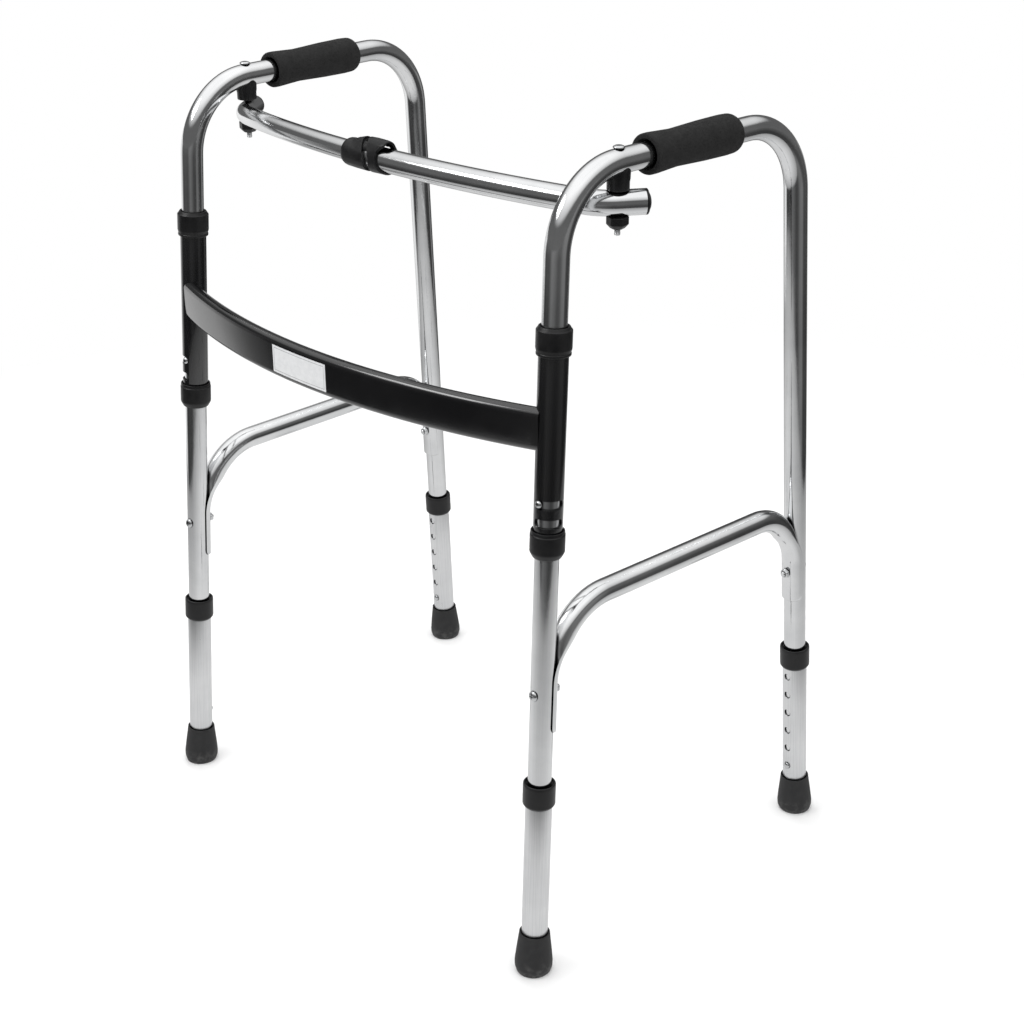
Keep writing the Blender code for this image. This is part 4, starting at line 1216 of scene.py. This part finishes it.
def make_floor():
    mesh = bpy.data.meshes.new("studio_floor")
    shape = bmesh.new()
    bmesh.ops.create_circle(shape, cap_ends=True, segments=96, radius=FLOOR_R)
    shape.to_mesh(mesh)
    shape.free()
    floor = bpy.data.objects.new("studio_floor", mesh)
    bpy.context.scene.collection.objects.link(floor)
    material, tree, shader = new_material("studio_floor")
    mottle = noise(tree, object_place(tree), 3, 3)
    colour = mixed(tree, mottle, (0.86, 0.86, 0.86), (0.90, 0.90, 0.90))
    set_inputs(tree, shader, Base_Color=colour, Roughness=0.7, Specular_IOR_Level=0.2)
    away = node(tree, "ShaderNodeVectorMath", {0: object_place(tree)}, operation="LENGTH").outputs["Value"]
    # Painted reflection: for glossy rays the floor glows, light grey near the frame and darker further out.
    grey = spread(tree, away, 0.55, STUDIO_R, 0.72, 0.32)
    mirrored = node(tree, "ShaderNodeEmission", {"Color": grey, "Strength": 1.0}).outputs[0]
    glossy = node(tree, "ShaderNodeLightPath").outputs["Is Glossy Ray"]
    white = node(tree, "ShaderNodeEmission", {"Color": (1, 1, 1, 1), "Strength": 1.0}).outputs[0]
    far = spread(tree, away, 0.7, 1.8)
    seen = node(tree, "ShaderNodeMixShader", {0: far, 1: shader.outputs[0], 2: white}).outputs[0]
    both = node(tree, "ShaderNodeMixShader", {0: glossy, 1: seen, 2: mirrored}).outputs[0]
    tree.links.new(both, tree.nodes["Material Output"].inputs["Surface"])
    mesh.materials.append(material)


def make_reflector():
    """A ring of grey cards that only reflections see. It gives the tubes their dark bands."""
    shape = skin([ring(STUDIO_R, z, 120) for z in (0.0, STUDIO_H)])
    caps = [face for face in shape.faces if len(face.verts) > 4]
    bmesh.ops.delete(shape, geom=caps, context="FACES_ONLY")
    cards = object_of("studio_cards", shape)
    material, tree, shader = new_material("studio_cards")
    tree.nodes.remove(shader)
    uv = node(tree, "ShaderNodeUVMap", uv_map="around_along").outputs[0]
    parts = node(tree, "ShaderNodeSeparateXYZ", {0: uv}).outputs
    around = node(tree, "ShaderNodeValToRGB", {0: parts[0]})
    stops = around.color_ramp.elements
    for place, _ in CARD_GREYS[1:-1]:
        stops.new(place)
    for stop, (_, grey) in zip(stops, CARD_GREYS):
        stop.color = (grey, grey, grey, 1)
    rise = spread(tree, parts[1], 0.5 * STUDIO_H, STUDIO_H, 0.0, 0.06)
    grey = math_node(tree, "ADD", around.outputs[0], rise)
    glow = node(tree, "ShaderNodeEmission", {"Color": grey, "Strength": 1.0})
    tree.links.new(glow.outputs[0], tree.nodes["Material Output"].inputs["Surface"])
    cards.data.materials.append(material)
    for setting in ("camera", "diffuse", "transmission", "volume_scatter", "shadow"):
        setattr(cards, f"visible_{setting}", False)


def make_world():
    """Pale for the camera and for soft light; in reflections a bright ceiling above light grey walls."""
    world = bpy.data.worlds.new("studio")
    bpy.context.scene.world = world
    world.use_nodes = True
    tree = world.node_tree
    tree.nodes.clear()
    facing = node(tree, "ShaderNodeTexCoord").outputs["Generated"]
    height = node(tree, "ShaderNodeSeparateXYZ", {0: facing}).outputs[2]
    walls = spread(tree, height, 0.40, 0.53, 0.12, 0.62)
    ceiling = spread(tree, height, 0.53, 0.85, 0.0, 0.48)
    bright = math_node(tree, "ADD", walls, ceiling)
    reflected = node(tree, "ShaderNodeBackground", {"Color": bright, "Strength": 1.0}).outputs[0]
    pale = node(tree, "ShaderNodeBackground", {"Color": (1.0, 1.0, 1.0, 1), "Strength": 1.0}).outputs[0]
    rays = node(tree, "ShaderNodeLightPath").outputs
    share = rays["Is Glossy Ray"]
    both = node(tree, "ShaderNodeMixShader", {0: share, 1: pale, 2: reflected}).outputs[0]
    output = node(tree, "ShaderNodeOutputWorld")
    tree.links.new(both, output.inputs["Surface"])


def make_studio():
    make_floor()
    make_reflector()
    make_world()
    softbox("top_light", (0, 0.1, 2.8), (0, 0, 0.4), (2.0, 2.0), 26)
    softbox("key_light", (-0.82, -1.43, 2.15), (0, -0.26, 0.62), (1.1, 0.6), 9, mirrored=True)
    softbox("side_light", (-2.2, 0.9, 2.3), (0, 0, 0.5), (1.0, 1.5), 12)
    bpy.context.scene.view_settings.view_transform = "Standard"
    make_camera()


for side_label, side_sign in SIDES.items():
    make_handle_frame(side_label)
    make_grip(side_label)
    make_brace(side_label)
    make_stop_screw(side_label)
    make_pivot(side_label)
    make_sleeve(side_label, side_sign)
    make_crossbar_half(side_label, side_sign)
    for end_name in ENDS:
        make_leg(end_name, side_label)
        spring = frame["nodes"][f"button_spring_{end_name}_{side_label}"]
        spring.data.materials.clear()
        spring.data.materials.append(materials["spring_steel"])
make_lower_bar()
make_plate()
make_clip()
make_studio()
